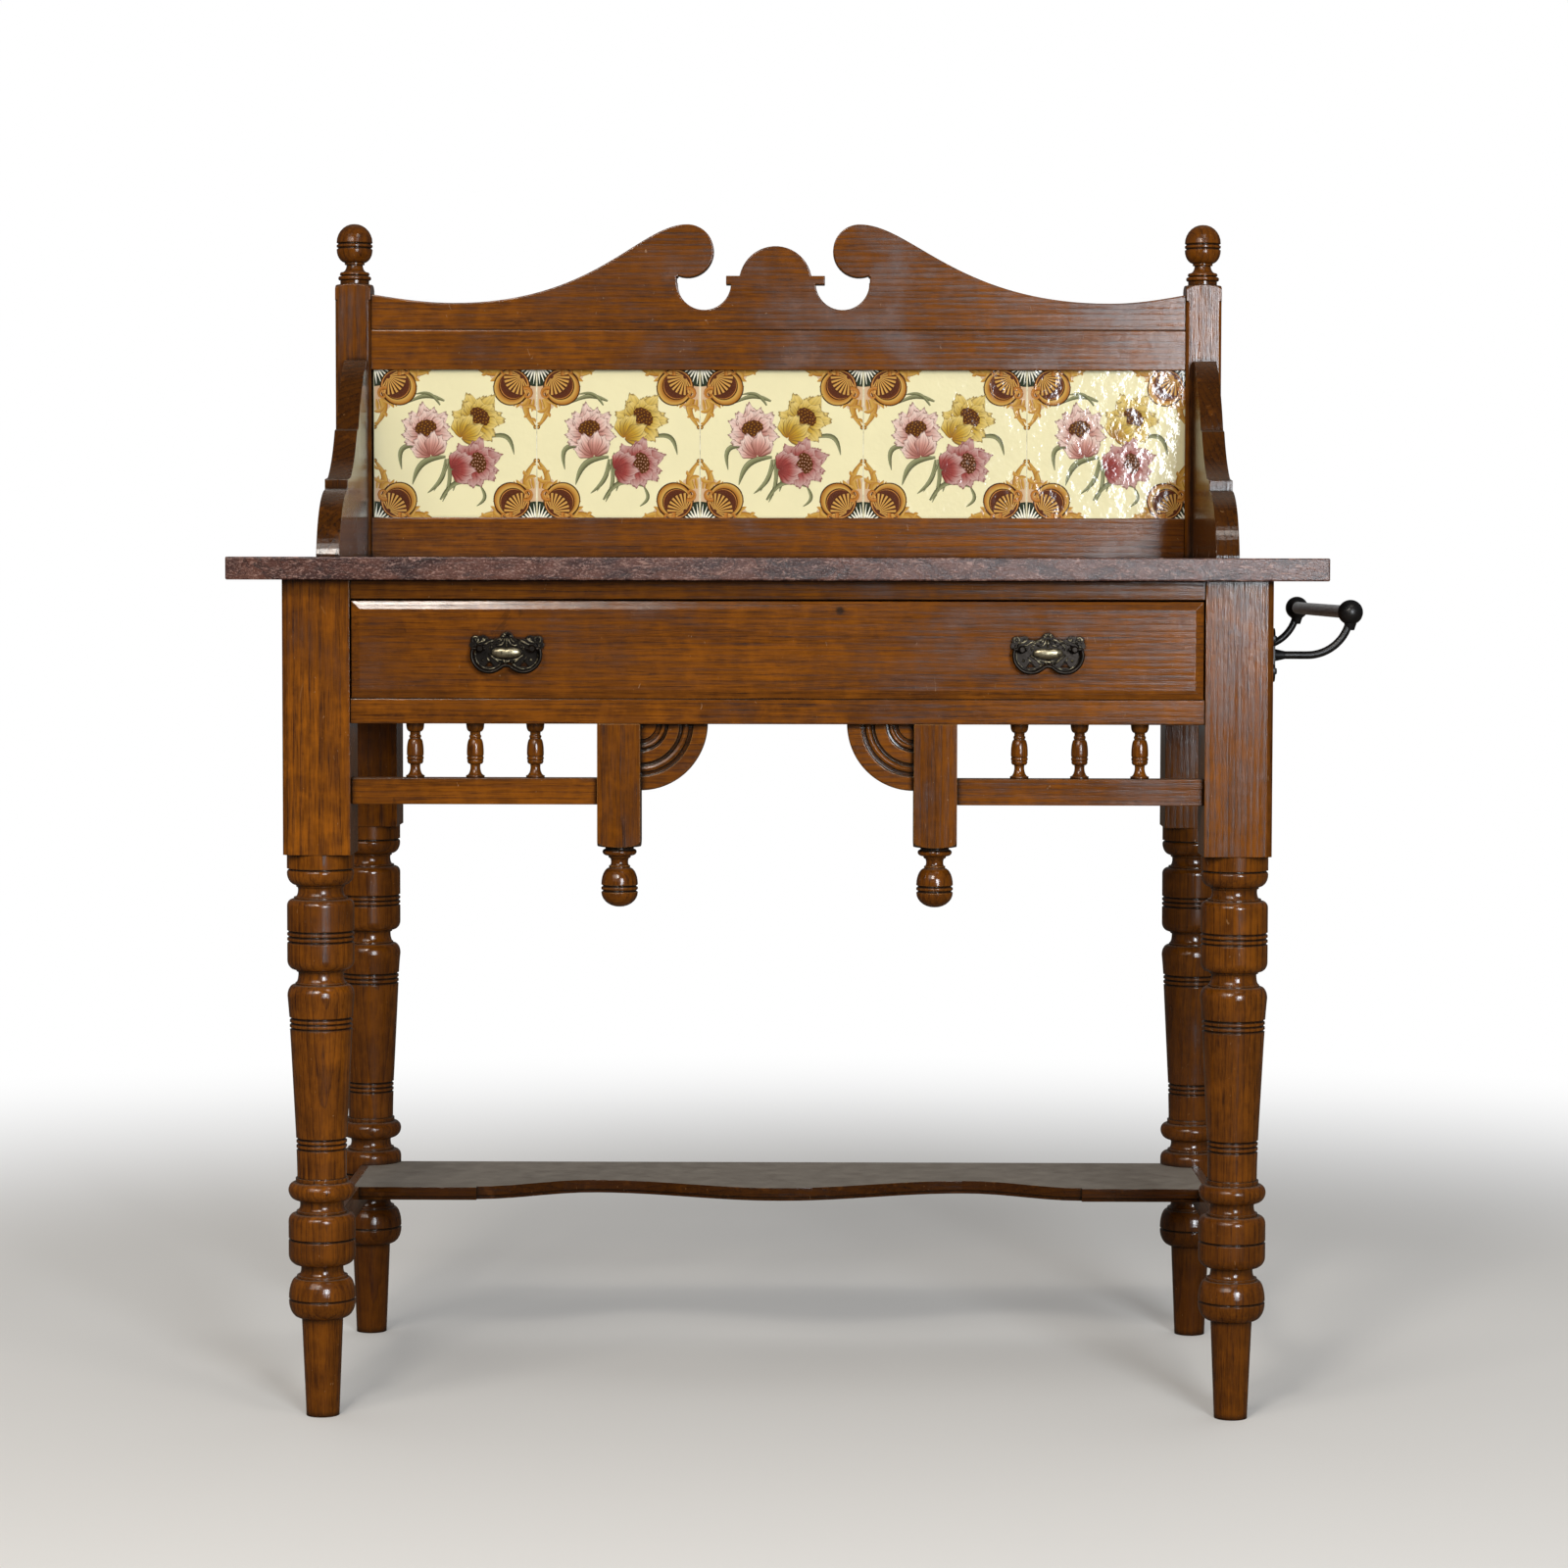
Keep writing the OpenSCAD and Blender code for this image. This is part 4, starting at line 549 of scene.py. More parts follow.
def black_iron(settings):
    """Blackened iron with a soft worn sheen."""
    iron, place = new_finish("black_iron")
    pit = iron.noise(place, 700.0, 3.0, 0.6)
    cloud = iron.noise(place, 60.0, 3.0)
    rounded, turned = iron.arris(0.0009)
    colour = iron.mix(iron.step(cloud, 0.45, 0.7) * 0.5, settings.iron, (0.022, 0.017, 0.014))
    colour = iron.mix(iron.step(turned, 0.02, 0.2) * 0.25, colour, (0.10, 0.09, 0.08))
    return iron.done(colour, 0.24 + pit * 0.2, iron.bump(pit, 0.0002, 0.5, rounded), Metallic=0.3)


def dull_steel(name, colour):
    """Dull drawn steel, a little spotted."""
    steel, place = new_finish(name)
    spot = steel.noise(place, 260.0, 4.0, 0.65)
    drawn = steel.noise(steel.scaled(place, (1.0, 0.03, 1.0)), 900.0, 3.0)
    shade = steel.mix(steel.step(spot, 0.50, 0.70) * 0.4, colour, tinted(colour, 0.28))
    shade = steel.mix(steel.step(drawn, 0.5, 0.68) * 0.4, shade, tinted(colour, 0.35))
    rough = 0.26 + spot * 0.2 + drawn * 0.1
    return steel.done(shade, rough, steel.bump(drawn + spot, 0.0001, 0.4), Metallic=0.15)


def patinated_brass(name, settings, rubbed):
    """Brass gone black in the hollows; rubbed is the share that shows bright."""
    metal, place = new_finish(name)
    patch = metal.noise(place, 330.0, 4.0, 0.6)
    fine = metal.noise(place, 1500.0, 2.0)
    rounded, turned = metal.arris(0.0005)
    bright = metal.step(patch, 0.78 - rubbed * 0.6, 1.02 - rubbed * 0.6)
    bright = (bright + metal.step(turned, 0.03, 0.3) * 0.35 * metal.step(patch, 0.4, 0.6)).clamped()
    colour = metal.mix(bright, settings.patina, settings.brass)
    colour = metal.mix(metal.nook(0.0025, 0.35, 0.9) * 0.85, colour, tinted(settings.patina, 0.4))
    rough = 0.24 + fine * 0.16
    relief = patch + fine * 0.4
    return metal.done(colour, rough, metal.bump(relief, 0.00012, 0.6, rounded), Metallic=0.9)


# ---------- meshes ----------


def finish_nodes(names, material):
    """Gives CAD nodes one material on all their faces."""
    for name in names:
        data = NODES[name].data
        data.materials.clear()
        data.materials.append(material)
        for face in data.polygons:
            face.material_index = 0


def soften(name, width, segments=2):
    """Rounds the square arrises of a CAD node a little."""
    weld = NODES[name].modifiers.new("joined_faces", "WELD")
    weld.merge_threshold = 0.00001
    bevel = NODES[name].modifiers.new("worn_arris", "BEVEL")
    bevel.width = width
    bevel.segments = segments
    bevel.limit_method = "ANGLE"
    bevel.angle_limit = math.radians(50)
    bevel.use_clamp_overlap = False


def new_object(name, data):
    """An object in the scene."""
    made = bpy.data.objects.new(name, data)
    bpy.context.scene.collection.objects.link(made)
    return made


def add_piece(name, points, faces, material, body, smooth=True):
    """Makes a mesh piece in metres and hangs it on a CAD body."""
    data = bpy.data.meshes.new(name)
    data.from_pydata(points, [], faces)
    data.update()
    data.materials.append(material)
    data.polygons.foreach_set("use_smooth", [smooth] * len(data.polygons))
    piece = new_object(name, data)
    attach(piece, body)
    return piece


def bands(start, rings, sides):
    """Quads between rings of points that follow one another from start."""
    quads = []
    for first in range(start, start + (rings - 1) * sides, sides):
        for k in range(sides):
            a = first + k
            b = first + (k + 1) % sides
            quads.append((a, b, b + sides, a + sides))
    return quads


def tube(points, path, radius, sides=8, taper=None):
    """Adds a round tube along a path to a list of points; returns its faces."""
    start = len(points)
    count = len(path)
    side_way = None
    for i, here in enumerate(path):
        ahead = (path[min(i + 1, count - 1)] - path[max(i - 1, 0)]).normalized()
        if side_way is None:
            side_way = ahead.orthogonal().normalized()
        side_way = (side_way - ahead * side_way.dot(ahead)).normalized()
        up_way = ahead.cross(side_way)
        size = radius * (taper(i / (count - 1)) if taper else 1.0)
        for k in range(sides):
            turn = 2 * math.pi * k / sides
            points.append(here + (side_way * math.cos(turn) + up_way * math.sin(turn)) * size)
    faces = bands(start, count, sides)
    faces.append(tuple(start + k for k in reversed(range(sides))))
    faces.append(tuple(start + (count - 1) * sides + k for k in range(sides)))
    return faces


# ---------- the tiles' print ----------

# Colours of the print
CREAM = (0.93, 0.86, 0.62)
WHITE = (0.95, 0.91, 0.80)
BLUSH = (0.78, 0.43, 0.34)
MAUVE = (0.34, 0.10, 0.075)
ROSE = (0.36, 0.062, 0.052)
DEEP_ROSE = (0.20, 0.032, 0.028)
GOLD = (0.40, 0.16, 0.010)
PALE_GOLD = (0.66, 0.40, 0.09)
YELLOW = (0.58, 0.36, 0.035)
PALE_YELLOW = (0.80, 0.62, 0.22)
LEAF = (0.075, 0.075, 0.028)
PALE_LEAF = (0.36, 0.36, 0.18)
AMBER = (0.36, 0.11, 0.010)
PALE_AMBER = (0.58, 0.25, 0.055)
BUFF = (0.50, 0.26, 0.13)
BROWN = (0.050, 0.013, 0.005)
HEART = (0.10, 0.030, 0.008)
OLIVE_LINE = (0.17, 0.10, 0.03)
RUSSET_LINE = (0.16, 0.045, 0.03)
DEEP_GREEN = (0.016, 0.022, 0.012)
# The print stops short of a tile's edge, stands proud of its face and is laid in layers
PRINT_MARGIN = 0.7
PRINT_RAISE = 0.02 * MM
LAYER = 0.012 * MM
# A flower's heart: the points of its rim and its dots, and the turn in radians between them
RIM_POINTS = 24
RIM_TURN = 0.2618
DOTS = 26
DOT_TURN = 2.4
# Plaster between two tiles: each point's way from the middle and depth in millimetres
JOINT_PROFILE = ((-0.30, 0.20), (-0.1, 0.08), (0.1, 0.08), (0.28, 0.35))
JOINT_ROWS = 24


def shares(steps):
    """Even steps from 0 to 1, both of them included."""
    return [i / steps for i in range(steps + 1)]


def around(middle, radius, angle):
    """A place at a distance and an angle from another one."""
    return (middle[0] + radius * math.cos(angle), middle[1] + radius * math.sin(angle))


def ring(middle, radius, count):
    """Points round a circle."""
    return [around(middle, radius, 2 * math.pi * i / count) for i in range(count)]


def beside(start, ahead, run, side):
    """A place that is a run ahead of another one and off to its left side."""
    return (
        start[0] + ahead[0] * run - ahead[1] * side,
        start[1] + ahead[1] * run + ahead[0] * side,
    )


class Print:
    """Flat coloured shapes on a tile's face, in millimetres from its middle."""

    def __init__(self, half):
        self.points = []
        self.colours = []
        self.faces = []
        self.half = half

    def _add(self, x, y, layer, colour):
        """Adds a point, held inside the print's edge."""
        x = max(-self.half, min(self.half, x))
        y = max(-self.half, min(self.half, y))
        self.points.append((x, y, layer))
        self.colours.append(colour)
        return len(self.points) - 1

    def disc(self, middle, rim, layer, inner, outer):
        """A filled shape: a fan of triangles from its middle to its rim."""
        hub = self._add(*middle, layer, inner)
        edge = [self._add(x, y, layer, outer) for x, y in rim]
        for i, a in enumerate(edge):
            self.faces.append((hub, a, edge[(i + 1) % len(edge)]))

    def dot(self, middle, radius, corners, layer, inner, outer):
        """A round spot."""
        self.disc(middle, ring(middle, radius, corners), layer, inner, outer)

    def patch(self, place, paint, rows, across, layer, lean=0.0):
        """A sheet of quads: place(t, u) gives its points and paint(t, u) their colours."""
        grid = [
            [self._add(*place(t, u), layer + lean * (u + 1) / 2, paint(t, u)) for u in across]
            for t in shares(rows)
        ]
        for low, high in zip(grid, grid[1:]):
            for k in range(len(across) - 1):
                self.faces.append((low[k], low[k + 1], high[k + 1], high[k]))

    def strip(self, path, widths, layer, inner, outer, edge=BROWN):
        """A shaded strip along a path, with a thin dark outline."""
        def place(t, u):
            at = t * (len(path) - 1)
            i = min(int(at), len(path) - 2)
            share = at - i
            (x0, y0), (x1, y1) = path[i], path[i + 1]
            run = math.hypot(x1 - x0, y1 - y0) or 1.0
            wide = widths(t) * u
            return (
                x0 + (x1 - x0) * share - (y1 - y0) / run * wide,
                y0 + (y1 - y0) * share + (x1 - x0) / run * wide,
            )

        def paint(t, u):
            if abs(u) > 0.95:
                return edge
            return blended(inner, outer, 0.5 + 0.5 * u)

        self.patch(place, paint, (len(path) - 1) * 2, (-1.0, -0.72, 0.0, 0.72, 1.0), layer)

    def petal(self, root, way, length, width, layer, colours, phase, lean=2.0):
        """A streaked petal with a frilled tip: colours are its root, body, tip and line."""
        base, body, tip, line = colours
        ahead = (math.cos(way), math.sin(way))

        def place(t, u):
            wide = width * math.sin(math.pi * min(0.5, 0.08 + t * 0.6)) ** 0.8
            wide *= 1.0 - 0.5 * (max(0.0, t - 0.6) / 0.4) ** 2
            frill = 0.04 * math.sin(7.5 * u + phase) + 0.015 * math.sin(17.0 * u + 2.0 * phase)
            run = length * (t * (1.0 + frill * t) - 0.24 * u * u * t * t)
            side = wide * u * (1.0 + 0.08 * math.sin(9.0 * t + phase))
            side += 0.1 * length * t * t * math.sin(phase * 1.7)
            return beside(root, ahead, run, side)

        def paint(t, u):
            if abs(u) > 0.88 or t > 0.95:
                return line
            colour = blended(base, body, min(1.0, t * 1.9))
            colour = blended(colour, tip, max(0.0, t - 0.45) / 0.55)
            streak = max(0.0, math.sin(15.0 * u + phase))
            shade = 0.75 * streak * (1.0 - t) ** 0.6 + 0.3 * max(0.0, -u * math.sin(phase * 3.1))
            return blended(colour, line, min(0.85, shade))

        across = (-1.0, -0.80, -0.66, -0.5, -0.34, -0.17, 0.0, 0.17, 0.34, 0.5, 0.66, 0.80, 1.0)
        self.patch(place, paint, 10, across, layer, lean)

    def heart(self, middle, wide, high, turn, layer, dark, dots):
        """The stippled middle of a flower."""
        ahead = (math.cos(turn), math.sin(turn))
        rim = [
            beside(
                middle, ahead,
                wide * math.cos(RIM_TURN * i) * (1 + 0.09 * (i % 2)),
                high * math.sin(RIM_TURN * i) * (1 + 0.09 * (i % 2)),
            )
            for i in range(RIM_POINTS)
        ]
        self.disc(middle, rim, layer, tinted(dark, 0.7), dark)
        for i in range(DOTS):
            out = math.sqrt((i + 0.5) / DOTS) * 0.98
            run = wide * out * math.cos(DOT_TURN * i)
            side = high * out * math.sin(DOT_TURN * i)
            self.dot(beside(middle, ahead, run, side), 0.72, 6, layer + 1, dots, tinted(dots, 0.6))

    def bloom(self, middle, size, face, layer, colours, centre):
        """A cupped bloom that opens towards face: back petals, heart, front petals."""
        dark, dots = centre
        ahead = (math.cos(face), math.sin(face))

        def along(share):
            return (middle[0] + ahead[0] * size * share, middle[1] + ahead[1] * size * share)

        for i in range(9):
            way = face + (i - 4) * 0.47
            reach = size * (1.02 - 0.05 * abs(i - 4)) * (0.95 + 0.07 * math.sin(3.3 * i + face))
            self.petal(along(-0.12), way, reach, size * 0.29, layer, colours, i * 1.9 + face)
        for i in range(5):
            way = face + (i - 2) * 0.62
            self.petal(along(-0.05), way, size * 0.70, size * 0.24, layer + 3, colours, i * 2.7 + 1.0)
        self.heart(along(0.06), size * 0.34, size * 0.25, face + 1.57, layer + 6, dark, dots)
        for i in (0, 5, 1, 4, 2, 3):
            way = face + (i - 2.5) * 0.46
            reach = size * (0.80 - 0.05 * abs(i - 2.5))
            self.petal(
                along(-0.80), way, reach, size * 0.23, layer + 8 + 1.5 * min(i, 5 - i), colours,
                i * 1.3 + 0.6, 0.5,
            )


def bowed(start, end, bow):
    """A path from start to end that bows to its left by bow."""
    run = (end[0] - start[0], end[1] - start[1])
    return [
        (
            start[0] + run[0] * t - run[1] * bow * math.sin(math.pi * t),
            start[1] + run[1] * t + run[0] * bow * math.sin(math.pi * t),
        )
        for t in shares(10)
    ]


def blade(width):
    """Half width along a leaf: pointed at its end, narrow at its stalk."""
    return lambda t: 0.25 + width * math.sin(math.pi * (0.08 + 0.92 * t)) ** 0.8


QUARTER = math.pi / 2
# Middles of the shell, of its hollow and of its flutes, in millimetres from the corner
SHELL = (22.5, 22.5)
HOLLOW = (20.5, 20.5)
FLUTES = (13.0, 13.0)


class Corner:
    """One corner of a tile: gives places in millimetres from it."""

    def __init__(self, sx, sy, half):
        self.sx = sx
        self.sy = sy
        self.half = half

    def at(self, along, out):
        """A place along the tile's edge and out from it."""
        return (self.sx * (self.half - along), self.sy * (self.half - out))

    def polar(self, radius, angle, middle=(0.0, 0.0)):
        """A place at a distance and an angle from a middle."""
        return self.at(*around(middle, radius, angle))

    def arc(self, radius, low, high, steps=20, middle=(0.0, 0.0)):
        """Places along an arc."""
        return [
            self.polar(radius, low + (high - low) * i / steps, middle) for i in range(steps + 1)
        ]


def draw_lace(art, corner):
    """A pale ground with a wavy edge and short leaves round it."""
    edge = [
        corner.polar(43.0 + 2.2 * math.sin(13.0 * i / 28 * math.pi), QUARTER * i / 28)
        for i in range(29)
    ]
    art.disc(corner.at(10, 10), [corner.at(0, 0)] + edge, 0, PALE_AMBER, blended(BUFF, CREAM, 0.35))
    for i in range(15):
        way = QUARTER * (i + 0.5) / 15
        bend = 0.05 * math.sin(2.2 * i)
        leaf = [corner.polar(r, way + bend * (r - 30) / 14) for r in (34, 38, 42, 46)]
        art.strip(leaf, blade(1.9 if i % 2 else 1.3), 1 + 0.8 * (i % 2), PALE_GOLD, GOLD, BUFF)


def draw_wedge(art, corner):
    """A dark wedge with pale spikes, right in the corner."""
    edge = [corner.at(0, 0)] + corner.arc(22.0, 0.0, QUARTER)
    art.disc(corner.at(3, 3), edge, 2, DEEP_GREEN, tinted(DEEP_GREEN, 1.6))
    for i in range(7):
        way = QUARTER * (i + 0.5) / 7
        spike = [corner.polar(r, way) for r in (7.0, 13.0, 20.0)]
        art.strip(spike, lambda t: 1.15 * (1 - t) + 0.15, 3, WHITE, CREAM, DEEP_GREEN)


def draw_shell(art, corner):
    """A fluted shell with a dark hollow and a thick rim."""
    art.dot(corner.at(*SHELL), 17.2, 36, 4, BROWN, BROWN)
    art.dot(corner.at(*SHELL), 16.1, 36, 5, AMBER, PALE_AMBER)
    art.dot(corner.at(*HOLLOW), 12.6, 30, 5.6, BROWN, tinted(BROWN, 2.2))
    for i in range(11):
        way = QUARTER / 2 + (i - 5) * 0.25
        flute = [corner.polar(r, way, FLUTES) for r in (2.0, 9.0, 16.8)]
        art.strip(flute, lambda t: 0.25 + 1.0 * t, 6.2, PALE_GOLD, PALE_AMBER, BROWN)
    rim = corner.arc(14.2, -1.15, QUARTER + 1.15, 24, SHELL)
    art.strip(rim, lambda t: 3.7 * math.sin(math.pi * (0.1 + 0.8 * t)), 6.8, BROWN, BROWN)
    art.strip(rim, lambda t: 2.9 * math.sin(math.pi * (0.1 + 0.8 * t)), 7, PALE_GOLD, AMBER)


def draw_scroll(art, side):
    """A curl and a leafy spine beside the shell; side gives the places."""
    curl = [side(*around((29.0, 8.6), 6.2 - 0.52 * i, 2.6 + 0.62 * i)) for i in range(10)]
    art.strip(curl, lambda t: 1.9 - 1.2 * t, 8.5, PALE_AMBER, AMBER)
    spine = [
        side(33.0 + 27.0 * t, 6.0 + 4.6 * math.sin(3.3 * t + 0.3) - 3.4 * t)
        for t in shares(14)
    ]
    line = blended(BROWN, GOLD, 0.4)
    art.strip(spine, lambda t: 3.3 * (1 - t) ** 0.7 + 0.6, 2, PALE_GOLD, GOLD, line)
    for k, i in enumerate((1, 4, 7, 10)):
        tip = side(33.0 + 27.0 * (i + 2.2) / 14, 14.5 - 1.6 * k if k % 2 == 0 else -0.8)
        art.strip(bowed(spine[i], tip, 0.2), blade(1.9 - 0.25 * k), 3 + k, PALE_GOLD, GOLD, BUFF)
    art.dot(spine[-1], 1.9, 10, 7, GOLD, BROWN)
    art.dot(spine[-1], 1.2, 8, 8, PALE_GOLD, GOLD)


def draw_corner(art, corner):
    """A fluted shell in one corner, with a spiked wedge behind it and scrolls beside it."""
    draw_lace(art, corner)
    draw_wedge(art, corner)
    draw_shell(art, corner)
    draw_scroll(art, corner.at)
    draw_scroll(art, lambda along, out: corner.at(out, along))


def draw_spray(art):
    """Three full blooms with narrow leaves, held in one bunch."""
    leaves = (
        ((-10, 40), (-44, 38), -0.16, 2.3), ((-14, 36), (-38, 46), -0.22, 1.6),
        ((30, 6), (55, -10), 0.34, 2.4), ((-30, -2), (-50, -24), -0.42, 2.6),
        ((-9, -12), (-40, -38), -0.22, 3.3), ((-9, -14), (-26, -46), 0.14, 2.4),
        ((-7, -14), (-12, -54), 0.10, 2.0), ((-5, -14), (-2, -44), 0.12, 2.0),
        ((-14, -52), (24, -40), 0.26, 2.4), ((24, -40), (20, -58), 0.30, 1.7),
        ((-4, -8), (-20, -44), 0.06, 0.8), ((-4, -8), (-8, -48), 0.05, 0.8),
    )
    line = tinted(LEAF, 0.5)
    for i, (start, end, bow, width) in enumerate(leaves):
        art.strip(bowed(start, end, bow), blade(width * 0.8), i * 0.9, PALE_LEAF, LEAF, line)
    gold = (GOLD, YELLOW, PALE_YELLOW, OLIVE_LINE)
    pink = (MAUVE, blended(BLUSH, ROSE, 0.3), blended(BLUSH, WHITE, 0.6), RUSSET_LINE)
    rose = (DEEP_ROSE, ROSE, blended(ROSE, WHITE, 0.45), DEEP_ROSE)
    art.bloom((22, 24), 29, 0.85, 11, gold, (HEART, GOLD))
    art.bloom((-27, 13), 29, 1.75, 26, pink, (HEART, GOLD))
    art.bloom((20, -18), 28, 0.25, 41, rose, (HEART, blended(GOLD, BLUSH, 0.5)))


def make_print(name, tile, material):
    """The printed spray on one tile, a shade proud of its face."""
    low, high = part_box(tile)
    middle = (low + high) / 2
    half = (high.z - low.z) / 2 / MM - PRINT_MARGIN
    art = Print(half)
    for sx in (-1, 1):
        for sy in (-1, 1):
            draw_corner(art, Corner(sx, sy, half))
    draw_spray(art)
    face_y = low.y - PRINT_RAISE
    points = [
        (middle.x + x * MM, face_y - layer * LAYER, middle.z + y * MM)
        for x, y, layer in art.points
    ]
    piece = add_piece(name, points, art.faces, material, "stand", smooth=False)
    layer = piece.data.color_attributes.new("print", "FLOAT_COLOR", "POINT")
    for i, colour in enumerate(art.colours):
        layer.data[i].color = (*colour, 1.0)


def add_joints(tiles, material):
    """Plaster lines between the tiles, one mesh."""
    points = []
    faces = []
    across = len(JOINT_PROFILE)
    for left, right in zip(tiles, tiles[1:]):
        low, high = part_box(left)
        middle = (high.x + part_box(right)[0].x) / 2
        start = len(points)
        phase = 1 if left == tiles[0] else 0
        for i in range(JOINT_ROWS + 1):
            z = low.z + (high.z - low.z) * i / JOINT_ROWS
            sway = 0.05 * MM * math.sin(1.9 * i) + 0.03 * MM * math.sin(5.3 * i + phase)
            for side, depth in JOINT_PROFILE:
                points.append((middle + side * MM + sway, low.y + depth * MM, z))
        for i in range(JOINT_ROWS):
            for k in range(across - 1):
                a = start + across * i + k
                faces.append((a, a + 1, a + across + 1, a + across))
    add_piece("tile_joints", points, faces, material, "stand")


# ---------- the pulls' relief ----------


# A pull's pivots above the middle of the drawer front, and its plate's face before the front
PIVOT_RISE = 1.0 * MM
PLATE_PROUD = 2.0 * MM


def widening(t):
    """How a raised line grows along its path."""
    return 0.6 + 0.5 * t


class Relief:
    """Raised work on a pull's back plate, in millimetres from the middle of its pivots."""

    def __init__(self, plate):
        low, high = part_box(plate)
        front_low, front_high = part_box("drawer_front")
        middle_z = (front_low.z + front_high.z) / 2
        self.origin = Vector((
            (low.x + high.x) / 2, front_low.y - PLATE_PROUD, middle_z + PIVOT_RISE
        ))
        self.points = []
        self.faces = []

    def at(self, x, z, out):
        """A place on the plate, out from its face."""
        return self.origin + Vector((x, -out, z)) * MM

    def rod(self, path, size, out=0.0, taper=None, both=True):
        """A raised line, and its mirror image."""
        for side in (1, -1) if both else (1,):
            line = [self.at(side * x, z, out) for x, z in path]
            self.faces += tube(self.points, line, size * MM, 8, taper)

    def bead(self, x, z, size, out=0.0, flat=0.8):
        """A round stud and its mirror image."""
        rings, sides = 6, 12
        for side in (1, -1) if x else (1,):
            start = len(self.points)
            for i in range(rings):
                rise = math.pi / 2 * i / (rings - 1)
                for k in range(sides):
                    turn = 2 * math.pi * k / sides
                    self.points.append(self.at(
                        side * x + size * math.cos(rise) * math.cos(turn),
                        z + size * math.cos(rise) * math.sin(turn),
                        out + size * flat * math.sin(rise),
                    ))
            self.faces += bands(start, rings, sides)

    def dome(self, rim, levels):
        """A pillow over an outline: levels are (share of the outline, height)."""
        start = len(self.points)
        count = len(rim)
        mid_z = sum(z for _, z in rim) / count
        for share, out in levels:
            for x, z in rim:
                self.points.append(self.at(x * share, mid_z + (z - mid_z) * share, out))
        self.faces += bands(start, len(levels), count)
        self.faces.append(tuple(start + count * (len(levels) - 1) + k for k in range(count)))


def turn_path(x, z, radius, low, high, steps=12, squash=1.0):
    """Points on an arc, angles in degrees."""
    return [
        (
            x + radius * math.cos(math.radians(low + (high - low) * i / steps)),
            z + squash * radius * math.sin(math.radians(low + (high - low) * i / steps)),
        )
        for i in range(steps + 1)
    ]


def emboss(relief):
    """Lines, leaves and studs stamped into a back plate."""
    relief.rod(turn_path(0, -10.7, 19.4, 52, 76), 0.55)
    relief.rod(turn_path(14.3, -5.0, 11.9, -150, 14, 20), 0.5)
    relief.rod(turn_path(0, -2.6, 14.6, -168, -90, 14, 0.50), 0.65, 0.3)
    relief.rod([(13.6, -1.2), (14.4, 1.4), (12.6, 3.6), (9.6, 4.2)], 0.5, 0.2)
    relief.rod([(9.0, 7.6), (13.6, 5.9), (17.4, 3.8), (20.8, 2.4)], 0.75, 0.5, lambda t: 1.1 - 0.3 * t)
    relief.rod([(14.6, -4.8), (10.8, -7.6), (7.6, -10.4), (5.0, -12.4)], 0.85, 0.5)
    relief.rod([(16.8, -6.6), (15.2, -9.4), (12.6, -11.4)], 0.5, 0.2)
    relief.rod(turn_path(26.0, 7.4, 2.5, -60, 250, 12), 0.6, 0.2)
    relief.rod([(24.4, 4.6), (21.6, 5.4), (18.8, 6.6), (16.8, 8.6)], 0.7, 0.3)
    relief.rod([(27.6, 3.4), (26.6, 1.6), (25.4, 0.2)], 0.6, 0.2)
    relief.bead(26.0, 7.4, 1.1, 0.3)
    relief.bead(19.6, 7.8, 1.3, 0.2)
    relief.bead(20.3, -9.5, 1.3, 0.0, 1.1)
    relief.bead(12.4, 1.0, 0.9, 0.2)
    relief.rod([(0.0, 1.6), (0.0, 4.6), (0.0, 8.6)], 0.9, 1.0, lambda t: 0.8 + 0.5 * t, both=False)
    relief.rod([(1.6, 8.4), (2.2, 5.6), (3.8, 3.4), (6.6, 2.5), (8.8, 3.2)], 0.65, 0.8)
    relief.rod([(3.4, 8.6), (4.6, 6.4), (6.8, 5.4)], 0.55, 0.5)
    for turn in (18, 54):
        way = math.radians(turn)
        ray = [around((0.0, 9.6), 1.4, way), around((0.0, 9.2), 4.4, way)]
        relief.rod(ray, 0.8, 0.2, widening)
    relief.rod([(0.0, 10.6), (0.0, 13.4)], 0.8, 0.2, widening, both=False)
    relief.rod([(0.9, -12.6), (2.2, -9.9)], 0.75, 0.3, widening)
    relief.rod([(0.0, -12.8), (0.0, -9.4)], 0.75, 0.5, widening, both=False)


# The bright boss in millimetres: half its width and height, its middle under the pivots, and
# its pillow as (share of the outline, height over the plate)
BOSS_HALF = (12.4, 4.5)
BOSS_DROP = 3.35
BOSS_LEVELS = ((1, 0), (1, 2.1), (0.95, 3.0), (0.84, 3.8), (0.62, 4.5), (0.3, 4.9))
BOSS_POINTS = 56


def raise_boss(relief):
    """The bright boss: a pillow nearly straight on top, round below."""
    outline = []
    for i in range(BOSS_POINTS):
        way = 2 * math.pi * i / BOSS_POINTS
        cos, sin = math.cos(way), math.sin(way)
        x = BOSS_HALF[0] * math.copysign(abs(cos) ** 0.8, cos)
        z = BOSS_HALF[1] * math.copysign(abs(sin) ** (0.7 if sin > 0 else 1.0), sin) - BOSS_DROP
        if sin > 0:
            z -= 0.7 * math.exp(-(x / 2.6) ** 2)
        outline.append((x, z))
    relief.dome(outline, BOSS_LEVELS)


# ---------- operators ----------

SCREW_STEEL = (0.2, 0.19, 0.18)


class WASHSTAND_OT_marble_top(bpy.types.Operator):
    """Finish the marble slab"""

    bl_idname = "washstand.marble_top"
    bl_label = "Marble top"

    def execute(self, context):
        settings = context.scene.washstand_stone
        finish_nodes(["marble_top"], marble(settings))
        soften("marble_top", settings.arris, 3)
        return {"FINISHED"}


